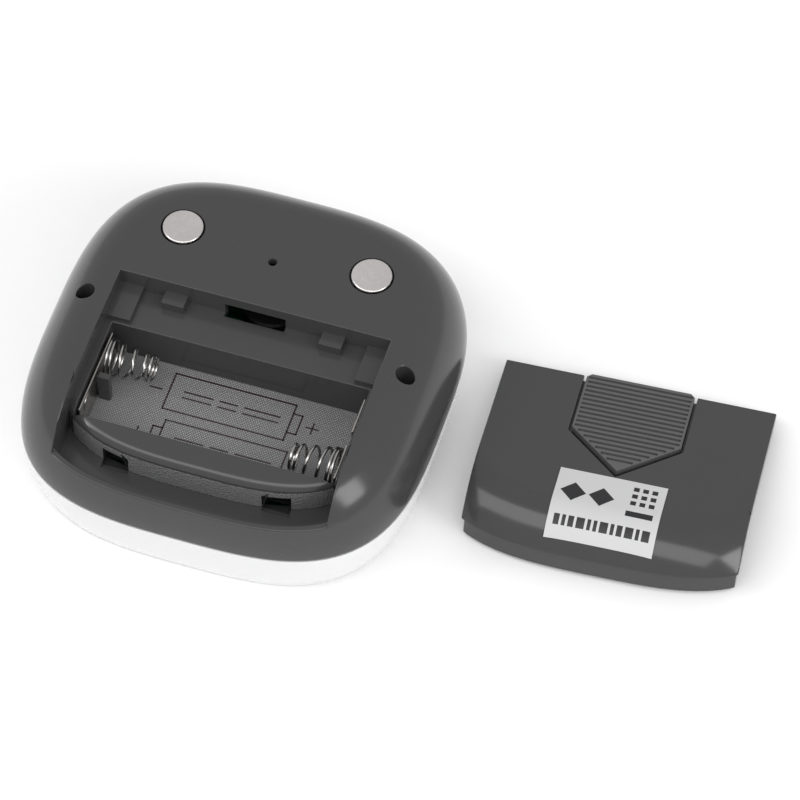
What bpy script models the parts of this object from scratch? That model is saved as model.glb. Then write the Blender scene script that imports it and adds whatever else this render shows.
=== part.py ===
"""Palm-size magnetic digital timer, lying on its front with the battery door off.

The origin is under the middle of the body, on the plane that the front face rests on.
+X runs along the cells, +Y towards the magnets, +Z out of the back. Units are metres.
"""

import math

import bmesh
import bpy
from mathutils import Euler, Matrix, Vector

# ---- Body: a rounded square with bulging sides, split into a rear shell and a front housing
body_width = 0.080
body_length = 0.080
body_height = 0.028
corner_power = 3.2  # 2 is an ellipse, a large number is a rectangle
split_height = 0.0129  # where the rear shell meets the front housing
split_gap = 0.0003
rear_round = 0.0106  # how far the back edge rounds in
rear_power = 1.85
front_round = 0.0031
front_power = 1.5
side_wall = 0.0018
back_wall = 0.0020
front_wall = 0.0018
outline_points = 64
rim_wall = 0.0012
rim_height = 0.0012

# ---- Cells and their bay
cell_diameter = 0.0105
cell_length = 0.0445
spring_room = 0.0075
cell_slack = 0.0006
bay_floor_depth = 0.0140  # below the back face
bay_wall = 0.0018
bay_floor_wall = 0.0015
near_margin = 0.0153  # from the body's near side to the bay
bay_length = cell_length + spring_room
bay_width = 2 * (cell_diameter + cell_slack)

# ---- Door opening
opening_margin = 0.0013  # past the bay, at each end
shelf_depth = 0.0050
shelf_width = 0.0089
shelf_wall = 0.0016
lip_depth = 0.0073
lip_wall = 0.0010
groove_depth = 0.0120
groove_wall = 0.0014
ramp_inset = 0.0096  # of the curved wall that faces the groove, at the middle
ramp_widening = 0.0026
ramp_round = 0.0020
corner_block_width = 0.0047
corner_block_depth = 0.0037
corner_block_setback = 0.0005
ledge_width = 0.0046
ledge_reach = 0.0030
ledge_depth = 0.0030
ledge_spacing = 0.0318
catch_width = 0.0120
catch_top = 0.0026
catch_bottom = 0.0076
slot_width = 0.0052
slot_height = 0.0036
slot_spacing = 0.0322
divider_height = 0.0070
divider_reach = 0.0024
divider_thickness = 0.0014

# ---- Door
door_gap = 0.0003
door_far_gap = 0.0008
door_wall = 0.0018
door_flange = 0.0016
door_flange_depth = 0.0027
tongue_wall = 0.0015
tongue_clearance = 0.0003
tongue_end_gap = 0.0004
tongue_overlap = 0.0022  # with the door above the lip
toe_height = 0.0024
toe_reach = 0.0022  # past the ramp
toe_side_gap = 0.0004
pad_half_width = 0.0108
pad_straight = 0.0157
pad_point = 0.0099
pad_thickness = 0.0014
pad_proud = 0.0002
pad_side_gap = 0.0005
pad_travel = 0.0012
pocket_floor_thickness = 0.0010
pocket_floor_margin = 0.0028
latch_depth = 0.0038
latch_strip = 0.0008
latch_arm = 0.0011
latch_half_width = 0.0060
latch_strip_length = 0.0036
latch_lug_length = 0.0025
catch_hook_width = 0.0092
catch_hook_height = 0.0009
catch_hook_rise = 0.0001
catch_hook_reach = 0.0011  # past the opening's wall
label_width = 0.0210
label_far_offset = 0.0279  # from the opening's far side
label_length = 0.0148
label_thickness = 0.0002
label_glue = 0.00005

# ---- Where the loose door lies
door_beside = 0.0050  # between the opening's width drawn out and the body
door_far_inset = 0.0126  # of the door's far edge from the body's far side
door_turn = math.radians(3.9)
table_clearance = 0.00005

# ---- Magnets and sound hole
magnet_diameter = 0.0080
magnet_thickness = 0.0027
magnet_proud = 0.0003
magnet_spacing = 0.0384
magnet_from_far_side = 0.0202
magnet_gap = 0.0003
magnet_boss_wall = 0.0013
sound_hole_diameter = 0.0017
sound_hole_from_far_side = 0.0229

# ---- Screws
case_screw_from_side = 0.0078
case_hole_diameter = 0.0037
case_screw_depth = 0.0085  # of the head's top below the back face
screw_head_height = 0.0013
screw_shank_diameter = 0.0017
screw_clearance = 0.0003
case_post_diameter = 0.0064
case_screw_end = 0.0065
board_screw_x = 0.0245
board_screw_from_end = 0.0035
board_post_diameter = 0.0044
board_screw_head_diameter = 0.0036
board_screw_end = 0.0030

# ---- Front: window, display and buttons
window_center_y = 0.0150
window_width = 0.0420
window_length = 0.0210
lens_rim = 0.0020
lens_depth = 0.0012
lens_gap = 0.0003
lcd_rim = 0.0025
lcd_thickness = 0.0024
lcd_frame_wall = 0.0015
strip_width = 0.0018
strip_margin = 0.0006
button_diameter = 0.0090
button_gap = 0.0003
button_recess = 0.0004
button_flange = 0.0011
button_flange_thickness = 0.0009
button_stem_diameter = 0.0040
button_travel = 0.0005
button_spacing = 0.0180
button_from_near_side = 0.0200
switch_size = 0.0060
switch_body_height = 0.0022
switch_pin_diameter = 0.0030
switch_pin_height = 0.0003
fit = 0.0002  # between flat faces that rest on each other

# ---- Board and what stands on it
board_margin = 0.0120
board_end_margin = 0.0080
board_thickness = 0.0012
board_corner = 0.0060
board_height = 0.0075
buzzer_diameter = 0.0120
buzzer_height = 0.0062
buzzer_hole_diameter = 0.0024
buzzer_hole_depth = 0.0010
chip_diameter = 0.0090
chip_height = 0.0015
chip_x, chip_y = -0.0120, -0.0100
crystal_diameter = 0.0020
crystal_length = 0.0060
crystal_x, crystal_y = 0.0010, -0.0160
capacitor_diameter = 0.0050
capacitor_height = 0.0055
capacitor_x, capacitor_y = 0.0170, 0.0150

# ---- Contacts
plate_thickness = 0.0004
plate_width = 0.0080
plate_height = 0.0075
plate_gap = 0.0003
tail_width = 0.0020
tail_below_floor = 0.0015
spring_wire = 0.0006
spring_base_radius = 0.0038
spring_tip_radius = 0.0026
spring_length = 0.0095
spring_turns = 5
lead_radius = 0.0006

# ---- Places worked out from the sizes above
half_width = body_width / 2
half_length = body_length / 2
rear_rise = body_height - split_height
bay_near_y = near_margin - half_length
bay_far_y = bay_near_y + bay_width
bay_middle_y = (bay_near_y + bay_far_y) / 2
bay_half_length = bay_length / 2
bay_floor_z = body_height - bay_floor_depth
bay_bottom_z = bay_floor_z - bay_floor_wall
opening_half = bay_half_length + opening_margin
opening_far_y = bay_far_y + shelf_width
shelf_z = body_height - shelf_depth
lip_z = body_height - lip_depth
groove_z = body_height - groove_depth
magnet_y = half_length - magnet_from_far_side
magnet_x = magnet_spacing / 2
sound_hole_y = half_length - sound_hole_from_far_side
case_screw_x = half_width - case_screw_from_side
board_top_z = board_height + board_thickness
board_screw_rows = (board_end_margin + board_screw_from_end - half_length, bay_middle_y)
button_y = button_from_near_side - half_length
door_place_x = half_width + opening_half + door_beside
door_place_y = half_length - door_far_inset
beyond = 0.05  # how far a cutter reaches past the body
hidden_step = 0.0003  # keeps faces of joined solids from lying in one plane

parts = bpy.data.collections.new("digital_timer")
cutters = bpy.data.collections.new("cutters")


def start_scene():
    for old in list(bpy.data.objects):
        bpy.data.objects.remove(old, do_unlink=True)
    bpy.context.scene.collection.children.link(parts)
    bpy.context.scene.collection.children.link(cutters)


def material(name, colour, roughness, metallic=0.0, alpha=1.0):
    made = bpy.data.materials.new(name)
    made.use_nodes = True
    surface = made.node_tree.nodes["Principled BSDF"]
    surface.inputs["Base Color"].default_value = (*colour, 1.0)
    surface.inputs["Roughness"].default_value = roughness
    surface.inputs["Metallic"].default_value = metallic
    surface.inputs["Alpha"].default_value = alpha
    return made


def add_mesh(name, mesh, collection):
    thing = bpy.data.objects.new(name, mesh)
    collection.objects.link(thing)
    if collection == cutters:
        thing.hide_render = True
        thing.display_type = "WIRE"
    return thing


def from_bmesh(name, build, collection):
    mesh = bpy.data.meshes.new(name)
    build.to_mesh(mesh)
    build.free()
    return add_mesh(name, mesh, collection)


def box(name, low, high, collection=cutters):
    build = bmesh.new()
    size = Vector(high) - Vector(low)
    middle = (Vector(high) + Vector(low)) / 2
    bmesh.ops.create_cube(build, size=1.0, matrix=Matrix.LocRotScale(middle, None, size))
    return from_bmesh(name, build, collection)


def cylinder(name, radius, low_z, high_z, x=0.0, y=0.0, collection=cutters, sides=32):
    build = bmesh.new()
    middle = Matrix.Translation((x, y, (low_z + high_z) / 2))
    bmesh.ops.create_cone(build, cap_ends=True, segments=sides, radius1=radius, radius2=radius,
                          depth=high_z - low_z, matrix=middle)
    return from_bmesh(name, build, collection)


def rounded_outline(half_x, half_y):
    """A superellipse, as a list of (x, y)."""
    outline = []
    for step in range(outline_points):
        angle = 2 * math.pi * step / outline_points
        along, across = math.cos(angle), math.sin(angle)
        reach = (abs(along) ** corner_power + abs(across) ** corner_power) ** (-1 / corner_power)
        outline.append((half_x * along * reach, half_y * across * reach))
    return outline


def loft(name, sections, collection=cutters):
    """A closed solid through rounded outlines, each given as (half_x, half_y, z)."""
    build = bmesh.new()
    rings = []
    for half_x, half_y, z in sections:
        rings.append([build.verts.new((x, y, z)) for x, y in rounded_outline(half_x, half_y)])
    for lower, upper in zip(rings, rings[1:]):
        for step in range(outline_points):
            after = (step + 1) % outline_points
            build.faces.new((lower[step], lower[after], upper[after], upper[step]))
    build.faces.new(list(reversed(rings[0])))
    build.faces.new(rings[-1])
    bmesh.ops.recalc_face_normals(build, faces=build.faces)
    return from_bmesh(name, build, collection)


def prism(name, outline, low_z, high_z, collection=cutters):
    """A flat outline, given as a list of (x, y), drawn up into a solid."""
    build = bmesh.new()
    face = build.faces.new([build.verts.new((x, y, low_z)) for x, y in outline])
    drawn = bmesh.ops.extrude_face_region(build, geom=[face])
    top = [item for item in drawn["geom"] if isinstance(item, bmesh.types.BMVert)]
    bmesh.ops.translate(build, verts=top, vec=(0, 0, high_z - low_z))
    bmesh.ops.recalc_face_normals(build, faces=build.faces)
    return from_bmesh(name, build, collection)


def turned(name, profile, x, y, z=0.0, steps=24, collection=None):
    """A profile of (radius, z) from top to bottom, turned about a vertical axis."""
    mesh = bpy.data.meshes.new(name)
    edges = [(step, step + 1) for step in range(len(profile) - 1)]
    mesh.from_pydata([(radius, 0, height) for radius, height in profile], edges, [])
    thing = add_mesh(name, mesh, collection or parts)
    thing.location = (x, y, z)
    screw = thing.modifiers.new("turn", "SCREW")
    screw.steps = steps
    screw.render_steps = steps
    screw.use_merge_vertices = True
    screw.merge_threshold = 0.00001
    screw.use_smooth_shade = True
    return thing


def wire(name, points, radius, sides=2):
    curve = bpy.data.curves.new(name, "CURVE")
    curve.dimensions = "3D"
    curve.bevel_depth = radius
    curve.bevel_resolution = sides
    curve.use_fill_caps = True
    spline = curve.splines.new("POLY")
    spline.points.add(len(points) - 1)
    for place, point in zip(spline.points, points):
        place.co = (*point, 1)
    thing = bpy.data.objects.new(name, curve)
    parts.objects.link(thing)
    return thing


def combine(target, operation, *others):
    for other in others:
        step = target.modifiers.new(other.name, "BOOLEAN")
        step.operation = operation
        step.solver = "EXACT"
        step.object = other


def cut(target, *others):
    combine(target, "DIFFERENCE", *others)


def join(target, *others):
    combine(target, "UNION", *others)


def keep_inside(target, *others):
    combine(target, "INTERSECT", *others)


def finish(thing, look, smooth_angle=35):
    thing.data.materials.append(look)
    if thing.type == "MESH":
        thing.data.shade_smooth()
        thing.data.set_sharp_from_angle(angle=math.radians(smooth_angle))


def rear_inset(z):
    """How far the back's rounding has come in at a height."""
    rise = max(0.0, (z - split_height) / rear_rise)
    return rear_round * (1 - (1 - rise ** rear_power) ** (1 / rear_power))


def rear_sections(wall, roof, levels, bottom_z):
    """Outlines of the rear shell's surface, moved in by a wall and down by a roof."""
    rise_to = rear_rise - roof
    sections = [(half_width - wall, half_length - wall, bottom_z)]
    for step in range(levels + 1):
        angle = step / levels * math.pi / 2
        z = split_height + rise_to * math.sin(angle) ** (2 / rear_power)
        inset = wall + rear_round * (1 - math.cos(angle) ** (2 / rear_power))
        if z > bottom_z + 0.0005:
            sections.append((half_width - inset, half_length - inset, z))
    return sections


def front_sections(wall, floor, levels, top_z):
    sections = []
    rise_to = split_height - floor
    for step in range(levels, -1, -1):
        angle = step / levels * math.pi / 2
        z = split_height - rise_to * math.sin(angle) ** (2 / front_power)
        inset = wall + front_round * (1 - math.cos(angle) ** (2 / front_power))
        if z < top_z - 0.0005:
            sections.append((half_width - inset, half_length - inset, z))
    sections.append((half_width - wall, half_length - wall, top_z))
    return sections


def straight_sections(inset, low_z, high_z):
    """The body's outline moved in by one amount, from one height to another."""
    return [(half_width - inset, half_length - inset, z) for z in (low_z, high_z)]


def span(side, near, far):
    """An X range on one side of the middle, low end first."""
    return sorted((side * near, side * far))


def make_rear_shell(look):
    shell = loft("rear_shell", rear_sections(0, 0, 8, split_height + split_gap), parts)
    hollow = loft("rear_hollow", rear_sections(side_wall, back_wall, 6, split_height - beyond))

    # The bay's outside is left standing in the hollow.
    bay_outer = bay_half_length + bay_wall
    opening_outer = opening_half + bay_wall
    trough_near = bay_near_y - bay_wall + hidden_step
    top_z = body_height + beyond
    bay_tub = box("bay_tub", (-bay_outer, trough_near, bay_bottom_z),
                  (bay_outer, bay_far_y + bay_wall - hidden_step, top_z))
    shelf_tub = box("shelf_tub", (-opening_outer, trough_near - 0.001, shelf_z - shelf_wall),
                    (opening_outer, opening_far_y + shelf_wall, top_z))
    near_tub = box("near_tub", (-opening_outer, -half_length - beyond, groove_z - groove_wall),
                   (opening_outer, trough_near, top_z))
    cut(hollow, bay_tub, shelf_tub, near_tub)
    post_radius = case_post_diameter / 2
    boss_radius = magnet_diameter / 2 + magnet_gap + magnet_boss_wall
    boss_z = body_height - magnet_thickness - magnet_boss_wall
    for side in (-1, 1):
        cut(hollow,
            cylinder(f"post_{side}", post_radius, 0.0, top_z, side * case_screw_x, 0, sides=24),
            cylinder(f"magnet_boss_{side}", boss_radius, boss_z, top_z, side * magnet_x, magnet_y, sides=32))
    cut(shell, hollow)

    # The opening goes down to the shelf, and by its near edge on into a groove between the
    # lip and a curved ramp. Corner blocks and two ledges stand on the shelf.
    opening = box("opening", (-opening_half, -half_length - beyond, groove_z),
                  (opening_half, opening_far_y, top_z))
    ramp_x = half_width - ramp_inset + ramp_widening
    ramp_y = half_length - ramp_inset
    bend = 0.3 * ramp_round
    ramp = loft("ramp", [(ramp_x, ramp_y, 0.0),
                         (ramp_x, ramp_y, shelf_z - ramp_round),
                         (ramp_x - bend, ramp_y - bend, shelf_z - bend),
                         (ramp_x - ramp_round, ramp_y - ramp_round, shelf_z)])
    lip_inset = rear_inset(lip_z) + lip_wall
    lip = box("lip", (-opening_half - 0.01, -half_length - beyond - 0.01, 0.0),
              (opening_half + 0.01, bay_middle_y, lip_z))
    cut(lip, loft("groove", straight_sections(lip_inset, -0.01, lip_z + 0.01)))
    cut(opening, ramp, lip)
    ledge_top = body_height - ledge_depth
    block_top = body_height - corner_block_depth
    for side in (-1, 1):
        low_x, high_x = span(side, opening_half - corner_block_width, opening_half + 0.001)
        cut(opening, box(f"corner_block_{side}", (low_x, bay_far_y + corner_block_setback, shelf_z - 0.001),
                         (high_x, opening_far_y + 0.001, block_top)))
        middle = side * ledge_spacing / 2
        cut(opening, box(f"ledge_{side}",
                         (middle - ledge_width / 2, opening_far_y - ledge_reach, shelf_z - 0.001),
                         (middle + ledge_width / 2, opening_far_y + 0.001, ledge_top)))
    cut(shell, opening)

    # The ramp is hollow behind its wall, so that the door's toes have somewhere to go.
    ramp_hollow = loft("ramp_hollow", [(ramp_x - groove_wall, ramp_y - groove_wall, 0.0),
                                       (ramp_x - groove_wall, ramp_y - groove_wall, shelf_z - shelf_wall)])
    keep_inside(ramp_hollow, box("ramp_hollow_limits", (-bay_half_length, -half_length, -0.001),
                                 (bay_half_length, trough_near - 0.0001, shelf_z)))
    cut(shell, ramp_hollow)

    trough = box("trough", (-bay_half_length, bay_near_y, bay_floor_z), (bay_half_length, bay_far_y, top_z))
    cut(trough, box("divider", (-bay_half_length + plate_thickness + 2 * plate_gap,
                                bay_middle_y - divider_thickness / 2, bay_floor_z - 0.001),
                    (-bay_half_length + plate_thickness + 2 * plate_gap + divider_reach,
                     bay_middle_y + divider_thickness / 2, bay_floor_z + divider_height)))
    cut(shell, trough)

    cut(shell, box("catch_slot", (-catch_width / 2, opening_far_y - 0.0009, body_height - catch_bottom),
                   (catch_width / 2, opening_far_y + shelf_wall + 0.001, body_height - catch_top)))
    for side in (-1, 1):
        middle = side * slot_spacing / 2
        cut(shell, box(f"toe_slot_{side}", (middle - slot_width / 2, -ramp_y - 0.001, groove_z),
                       (middle + slot_width / 2, trough_near - 0.0004, groove_z + slot_height)))
        cut(shell, box(f"tail_slot_{side}", (bay_half_length - 2 * plate_gap - plate_thickness,
                                             cell_y(side) - tail_width / 2 - plate_gap, bay_bottom_z - 0.001),
                       (bay_half_length, cell_y(side) + tail_width / 2 + plate_gap, bay_floor_z + 0.001)))
        cut(shell, cylinder(f"magnet_pocket_{side}", magnet_diameter / 2 + magnet_gap,
                            body_height + magnet_proud - magnet_thickness - magnet_gap, top_z,
                            side * magnet_x, magnet_y))
        cut(shell, cylinder(f"head_bore_{side}", case_hole_diameter / 2, case_head_z(), top_z,
                            side * case_screw_x, 0, sides=24))
        cut(shell, cylinder(f"shank_bore_{side}", screw_shank_diameter / 2 + screw_clearance, 0.0,
                            top_z, side * case_screw_x, 0, sides=16))
    cut(shell, cylinder("sound_hole", sound_hole_diameter / 2, body_height - back_wall - 0.001, top_z,
                        0, sound_hole_y, sides=16))
    finish(shell, look)


def case_head_z():
    """The face that a case screw's head bears on."""
    return body_height - case_screw_depth - screw_head_height - fit


def cell_y(side):
    """The axis of a cell: 1 is the far one, -1 the near one."""
    return bay_middle_y + side * bay_width / 4


def make_front_housing(look):
    top_z = split_height
    housing = loft("front_housing", front_sections(0, 0, 6, top_z), parts)
    hollow = loft("front_hollow", front_sections(side_wall, front_wall, 4, top_z + 0.01))
    post_radius = case_post_diameter / 2
    for side in (-1, 1):
        cut(hollow, cylinder(f"case_post_{side}", post_radius, 0.0, top_z, side * case_screw_x, 0, sides=24))
        for y in board_screw_rows:
            cut(hollow, cylinder(f"board_post_{side}_{y}", board_post_diameter / 2, 0.0,
                                 board_height - fit, side * board_screw_x, y, sides=20))
    cut(housing, hollow)

    # A rim inside the wall stands up into the rear shell and keeps the halves in line.
    rim_inset = side_wall + split_gap
    rim = loft("rim", [(half_width - side_wall / 2, half_length - side_wall / 2, top_z - 0.0025),
                       (half_width - side_wall / 2, half_length - side_wall / 2, top_z - 0.0003),
                       (half_width - rim_inset, half_length - rim_inset, top_z - 0.0002),
                       (half_width - rim_inset, half_length - rim_inset, top_z + rim_height)])
    cut(rim, loft("rim_hollow", straight_sections(rim_inset + rim_wall, 0.0, body_height)))
    join(housing, rim)

    cut(housing, box("window", (-window_width / 2, window_center_y - window_length / 2, -0.01),
                     (window_width / 2, window_center_y + window_length / 2, front_wall + 0.001)))
    rim_x = window_width / 2 + lens_rim
    rim_y = window_length / 2 + lens_rim
    cut(housing, box("lens_seat", (-rim_x, window_center_y - rim_y, -0.01),
                     (rim_x, window_center_y + rim_y, lens_depth)))
    for place in (-1, 0, 1):
        cut(housing, cylinder(f"button_hole_{place}", button_diameter / 2 + button_gap, -0.01,
                              front_wall + 0.001, place * button_spacing, button_y))
    bore = screw_shank_diameter / 2 + screw_clearance
    for side in (-1, 1):
        cut(housing, cylinder(f"case_pilot_{side}", bore, case_screw_end - 0.001, top_z + 0.01,
                              side * case_screw_x, 0, sides=16))
        for y in board_screw_rows:
            cut(housing, cylinder(f"board_pilot_{side}_{y}", bore, board_screw_end - 0.0005,
                                  board_height + 0.001, side * board_screw_x, y, sides=16))
    finish(housing, look)


def make_window_and_display(lens_look, lcd_look, frame_look, rubber):
    rim_x = window_width / 2 + lens_rim - lens_gap
    rim_y = window_length / 2 + lens_rim - lens_gap
    lens = box("display_window", (-rim_x, window_center_y - rim_y, 0.0),
               (rim_x, window_center_y + rim_y, lens_depth - fit), parts)
    finish(lens, lens_look)

    lcd_x = window_width / 2 + lcd_rim
    lcd_y = window_length / 2 + lcd_rim
    lcd_low = front_wall + 0.0003
    lcd_high = lcd_low + lcd_thickness
    finish(box("lcd_panel", (-lcd_x, window_center_y - lcd_y, lcd_low),
               (lcd_x, window_center_y + lcd_y, lcd_high), parts), lcd_look)

    frame_in_x, frame_in_y = lcd_x + 0.0003, lcd_y + 0.0003
    frame_out_x, frame_out_y = frame_in_x + lcd_frame_wall, frame_in_y + lcd_frame_wall
    frame = box("lcd_frame", (-frame_out_x, window_center_y - frame_out_y, lcd_low),
                (frame_out_x, window_center_y + frame_out_y, board_height - fit), parts)
    cut(frame, box("lcd_frame_hollow", (-frame_in_x, window_center_y - frame_in_y, 0.0),
                   (frame_in_x, window_center_y + frame_in_y, board_height + 0.001)))
    finish(frame, frame_look)

    for name, side in (("upper_contact_strip", 1), ("lower_contact_strip", -1)):
        middle = window_center_y + side * (lcd_y - strip_margin - strip_width / 2)
        finish(box(name, (-lcd_x + strip_margin, middle - strip_width / 2, lcd_high + fit),
                   (lcd_x - strip_margin, middle + strip_width / 2, board_height - fit), parts), rubber)


def make_buttons(look, switch_look):
    pin_low = board_height - fit - switch_body_height - switch_pin_height
    stem_top = pin_low - button_travel - 0.00005
    flange_low = front_wall + 0.0003
    flange_high = flange_low + button_flange_thickness
    cap = button_diameter / 2
    flange = cap + button_flange
    stem = button_stem_diameter / 2
    edge = 0.0003
    profile = [(0, stem_top), (stem, stem_top), (stem, flange_high), (flange, flange_high),
               (flange, flange_low), (cap, flange_low), (cap, button_recess + edge),
               (cap - edge, button_recess), (0, button_recess)]
    for name, place in (("left", -1), ("middle", 0), ("right", 1)):
        x = place * button_spacing
        finish(turned(f"button_{name}", profile, x, button_y), look)
        half = switch_size / 2
        switch = box(f"switch_{name}", (x - half, button_y - half, pin_low + switch_pin_height),
                     (x + half, button_y + half, board_height - fit), parts)
        join(switch, cylinder(f"switch_pin_{name}", switch_pin_diameter / 2, pin_low,
                              pin_low + switch_pin_height + 0.0005, x, button_y, sides=16))
        finish(switch, switch_look)


def make_board(look, parts_look, can_look, dark):
    half_x = half_width - board_margin
    half_y = half_length - board_end_margin
    corner = board_corner
    outline = [(half_x - corner, -half_y), (half_x, -half_y + corner), (half_x, half_y - corner),
               (half_x - corner, half_y), (-half_x + corner, half_y), (-half_x, half_y - corner),
               (-half_x, -half_y + corner), (-half_x + corner, -half_y)]
    board = prism("main_board", outline, board_height, board_top_z, parts)
    bore = screw_shank_diameter / 2 + screw_clearance
    for side in (-1, 1):
        for y in board_screw_rows:
            cut(board, cylinder(f"board_hole_{side}_{y}", bore, 0.0, 0.02, side * board_screw_x, y, sides=16))
    finish(board, look)

    base = board_top_z + fit
    radius = buzzer_diameter / 2
    hole = buzzer_hole_diameter / 2
    top = base + buzzer_height
    finish(turned("buzzer", [(0, top - buzzer_hole_depth), (hole, top - buzzer_hole_depth), (hole, top),
                             (radius - 0.0004, top), (radius, top - 0.0004), (radius, base), (0, base)],
                  0, sound_hole_y), dark)

    radius = chip_diameter / 2
    dome = [(radius * math.sin(step / 4 * math.pi / 2), base + chip_height * math.cos(step / 4 * math.pi / 2))
            for step in range(4)]
    finish(turned("controller_chip", [*dome, (radius, base + 0.0002), (radius, base), (0, base)],
                  chip_x, chip_y), dark)

    crystal_z = base + crystal_diameter / 2
    build = bmesh.new()
    bmesh.ops.create_cone(build, cap_ends=True, segments=16, radius1=crystal_diameter / 2,
                          radius2=crystal_diameter / 2, depth=crystal_length,
                          matrix=Matrix.Translation((crystal_x, crystal_y, crystal_z))
                          @ Matrix.Rotation(math.pi / 2, 4, "Y"))
    finish(from_bmesh("clock_crystal", build, parts), can_look)

    radius = capacitor_diameter / 2
    top = base + capacitor_height
    finish(turned("capacitor", [(0, top), (radius - 0.0003, top), (radius, top - 0.0003), (radius, base),
                                (0, base)], capacitor_x, capacitor_y, steps=20), parts_look)


def screw_profile(head_radius, head_base, head_height, end_z):
    shank = screw_shank_diameter / 2
    top = head_base + head_height
    return [(0, top), (head_radius - 0.0003, top), (head_radius, top - 0.0003), (head_radius, head_base),
            (shank, head_base), (shank, end_z + 0.0005), (0.0002, end_z), (0, end_z)]


def make_screws(look):
    case_head = case_hole_diameter / 2 - screw_clearance
    for name, side in (("left", -1), ("right", 1)):
        profile = screw_profile(case_head, case_head_z() + fit, screw_head_height, case_screw_end)
        finish(turned(f"case_screw_{name}", profile, side * case_screw_x, 0, steps=20), look)
    number = 0
    for side in (-1, 1):
        for y in board_screw_rows:
            number += 1
            profile = screw_profile(board_screw_head_diameter / 2, board_top_z + fit, screw_head_height,
                                    board_screw_end)
            finish(turned(f"board_screw_{number}", profile, side * board_screw_x, y, steps=16), look)


def make_magnets(look):
    top = body_height + magnet_proud
    radius = magnet_diameter / 2
    edge = 0.0002
    for name, side in (("left", -1), ("right", 1)):
        profile = [(0, top), (radius - edge, top), (radius, top - edge), (radius, top - magnet_thickness),
                   (0, top - magnet_thickness)]
        finish(turned(f"magnet_{name}", profile, side * magnet_x, magnet_y, steps=32), look)


def make_contacts(plate_look, spring_look, red, black):
    inner = bay_half_length - plate_gap
    low_z = bay_floor_z + plate_gap
    high_z = low_z + plate_height
    tail_z = bay_bottom_z - tail_below_floor

    link = box("link_plate", (-inner, cell_y(-1) - plate_width / 2, low_z),
               (-inner + plate_thickness, cell_y(1) + plate_width / 2, high_z), parts)
    finish(link, plate_look)
    for name, side in (("positive_plate", 1), ("negative_plate", -1)):
        y = cell_y(side)
        plate = box(name, (inner - plate_thickness, y - plate_width / 2, low_z),
                    (inner, y + plate_width / 2, high_z), parts)
        join(plate, box(f"{name}_tail", (inner - plate_thickness, y - tail_width / 2, tail_z),
                        (inner, y + tail_width / 2, low_z + 0.001)))
        finish(plate, plate_look)

    cell_z = bay_floor_z + cell_diameter / 2
    points_per_turn = 10
    base_x = inner - plate_thickness - plate_gap - spring_wire / 2
    for name, side, y in (("cell_spring_left", -1, cell_y(1)), ("cell_spring_right", 1, cell_y(-1))):
        coil = []
        for step in range(spring_turns * points_per_turn + 1):
            part = step / (spring_turns * points_per_turn)
            angle = 2 * math.pi * step / points_per_turn
            radius = spring_base_radius + (spring_tip_radius - spring_base_radius) * min(1, 1.6 * part)
            along = (spring_length - spring_wire) * (part - 0.095 * math.sin(2 * math.pi * part))
            coil.append((side * (base_x - along), y + radius * math.cos(angle),
                         cell_z + radius * math.sin(angle)))
        finish(wire(name, coil, spring_wire / 2, 1), spring_look)

    # Each lead drops from its plate's tail and runs under the bay to the board.
    tail_x = inner - plate_thickness / 2
    drop = tail_z - plate_gap
    pad_z = board_top_z + lead_radius + fit
    for name, side, look in (("positive_lead", 1, red), ("negative_lead", -1, black)):
        y = cell_y(side)
        route = [(tail_x, y, drop), (tail_x - 0.0001, y, drop - 0.0006),
                 (tail_x - 0.0008, y, pad_z + 0.0004), (tail_x - 0.0020, y, pad_z + 0.0001),
                 (tail_x - 0.0040, y, pad_z), (tail_x - 0.0060, y + side * 0.0004, pad_z)]
        finish(wire(name, route, lead_radius), look)


def door_frame():
    """The empty that carries the loose door from its closed place to the table.

    It comes to rest on its latch hook at one end, and on its tongue or its toes at the other.
    """
    hook_tip = Vector((0, opening_far_y + catch_hook_reach, body_height - latch_depth + catch_hook_rise))
    tongue_x = opening_half - door_gap - tongue_end_gap
    inner_x = half_width - tongue_inset() - tongue_wall
    inner_y = half_length - tongue_inset() - tongue_wall
    tongue_end = -inner_y * (1 - (tongue_x / inner_x) ** corner_power) ** (1 / corner_power)
    supports = [Vector((0, tongue_end, tongue_bottom_z())),
                Vector((0, toe_tip_y(), tongue_bottom_z() + tongue_clearance))]
    lean = max(math.atan2(hook_tip.z - support.z, hook_tip.y - support.y) for support in supports)
    tilt = Euler((-lean, 0, 0)).to_matrix()
    whole_turn = Euler((0, 0, door_turn)).to_matrix() @ tilt
    pivot = Vector((0, opening_far_y - door_far_gap, body_height))
    lowest = min((tilt @ (point - pivot)).z for point in (hook_tip, *supports))
    place = Vector((door_place_x, door_place_y, table_clearance - lowest))
    frame = bpy.data.objects.new("door_frame", None)
    parts.objects.link(frame)
    frame.matrix_world = Matrix.LocRotScale(place - whole_turn @ pivot, whole_turn, None)
    return frame


def toe_tip_y():
    return ramp_inset - half_length + toe_reach


def tongue_inset():
    return rear_inset(lip_z) + lip_wall + tongue_clearance


def tongue_bottom_z():
    return groove_z + tongue_clearance


def pad_outline(side_gap, far_y, point_gap):
    """The latch pad's five corners, spread by a gap at its sides and along its point."""
    straight_y = opening_far_y - door_gap - pad_straight
    tip_y = straight_y - pad_point
    slope = math.hypot(pad_half_width, pad_point)
    half = pad_half_width + side_gap
    tip = tip_y - point_gap * slope / pad_half_width
    shoulder = tip + half * pad_point / pad_half_width
    return [(-half, far_y), (-half, shoulder), (0, tip), (half, shoulder), (half, far_y)]


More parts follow.
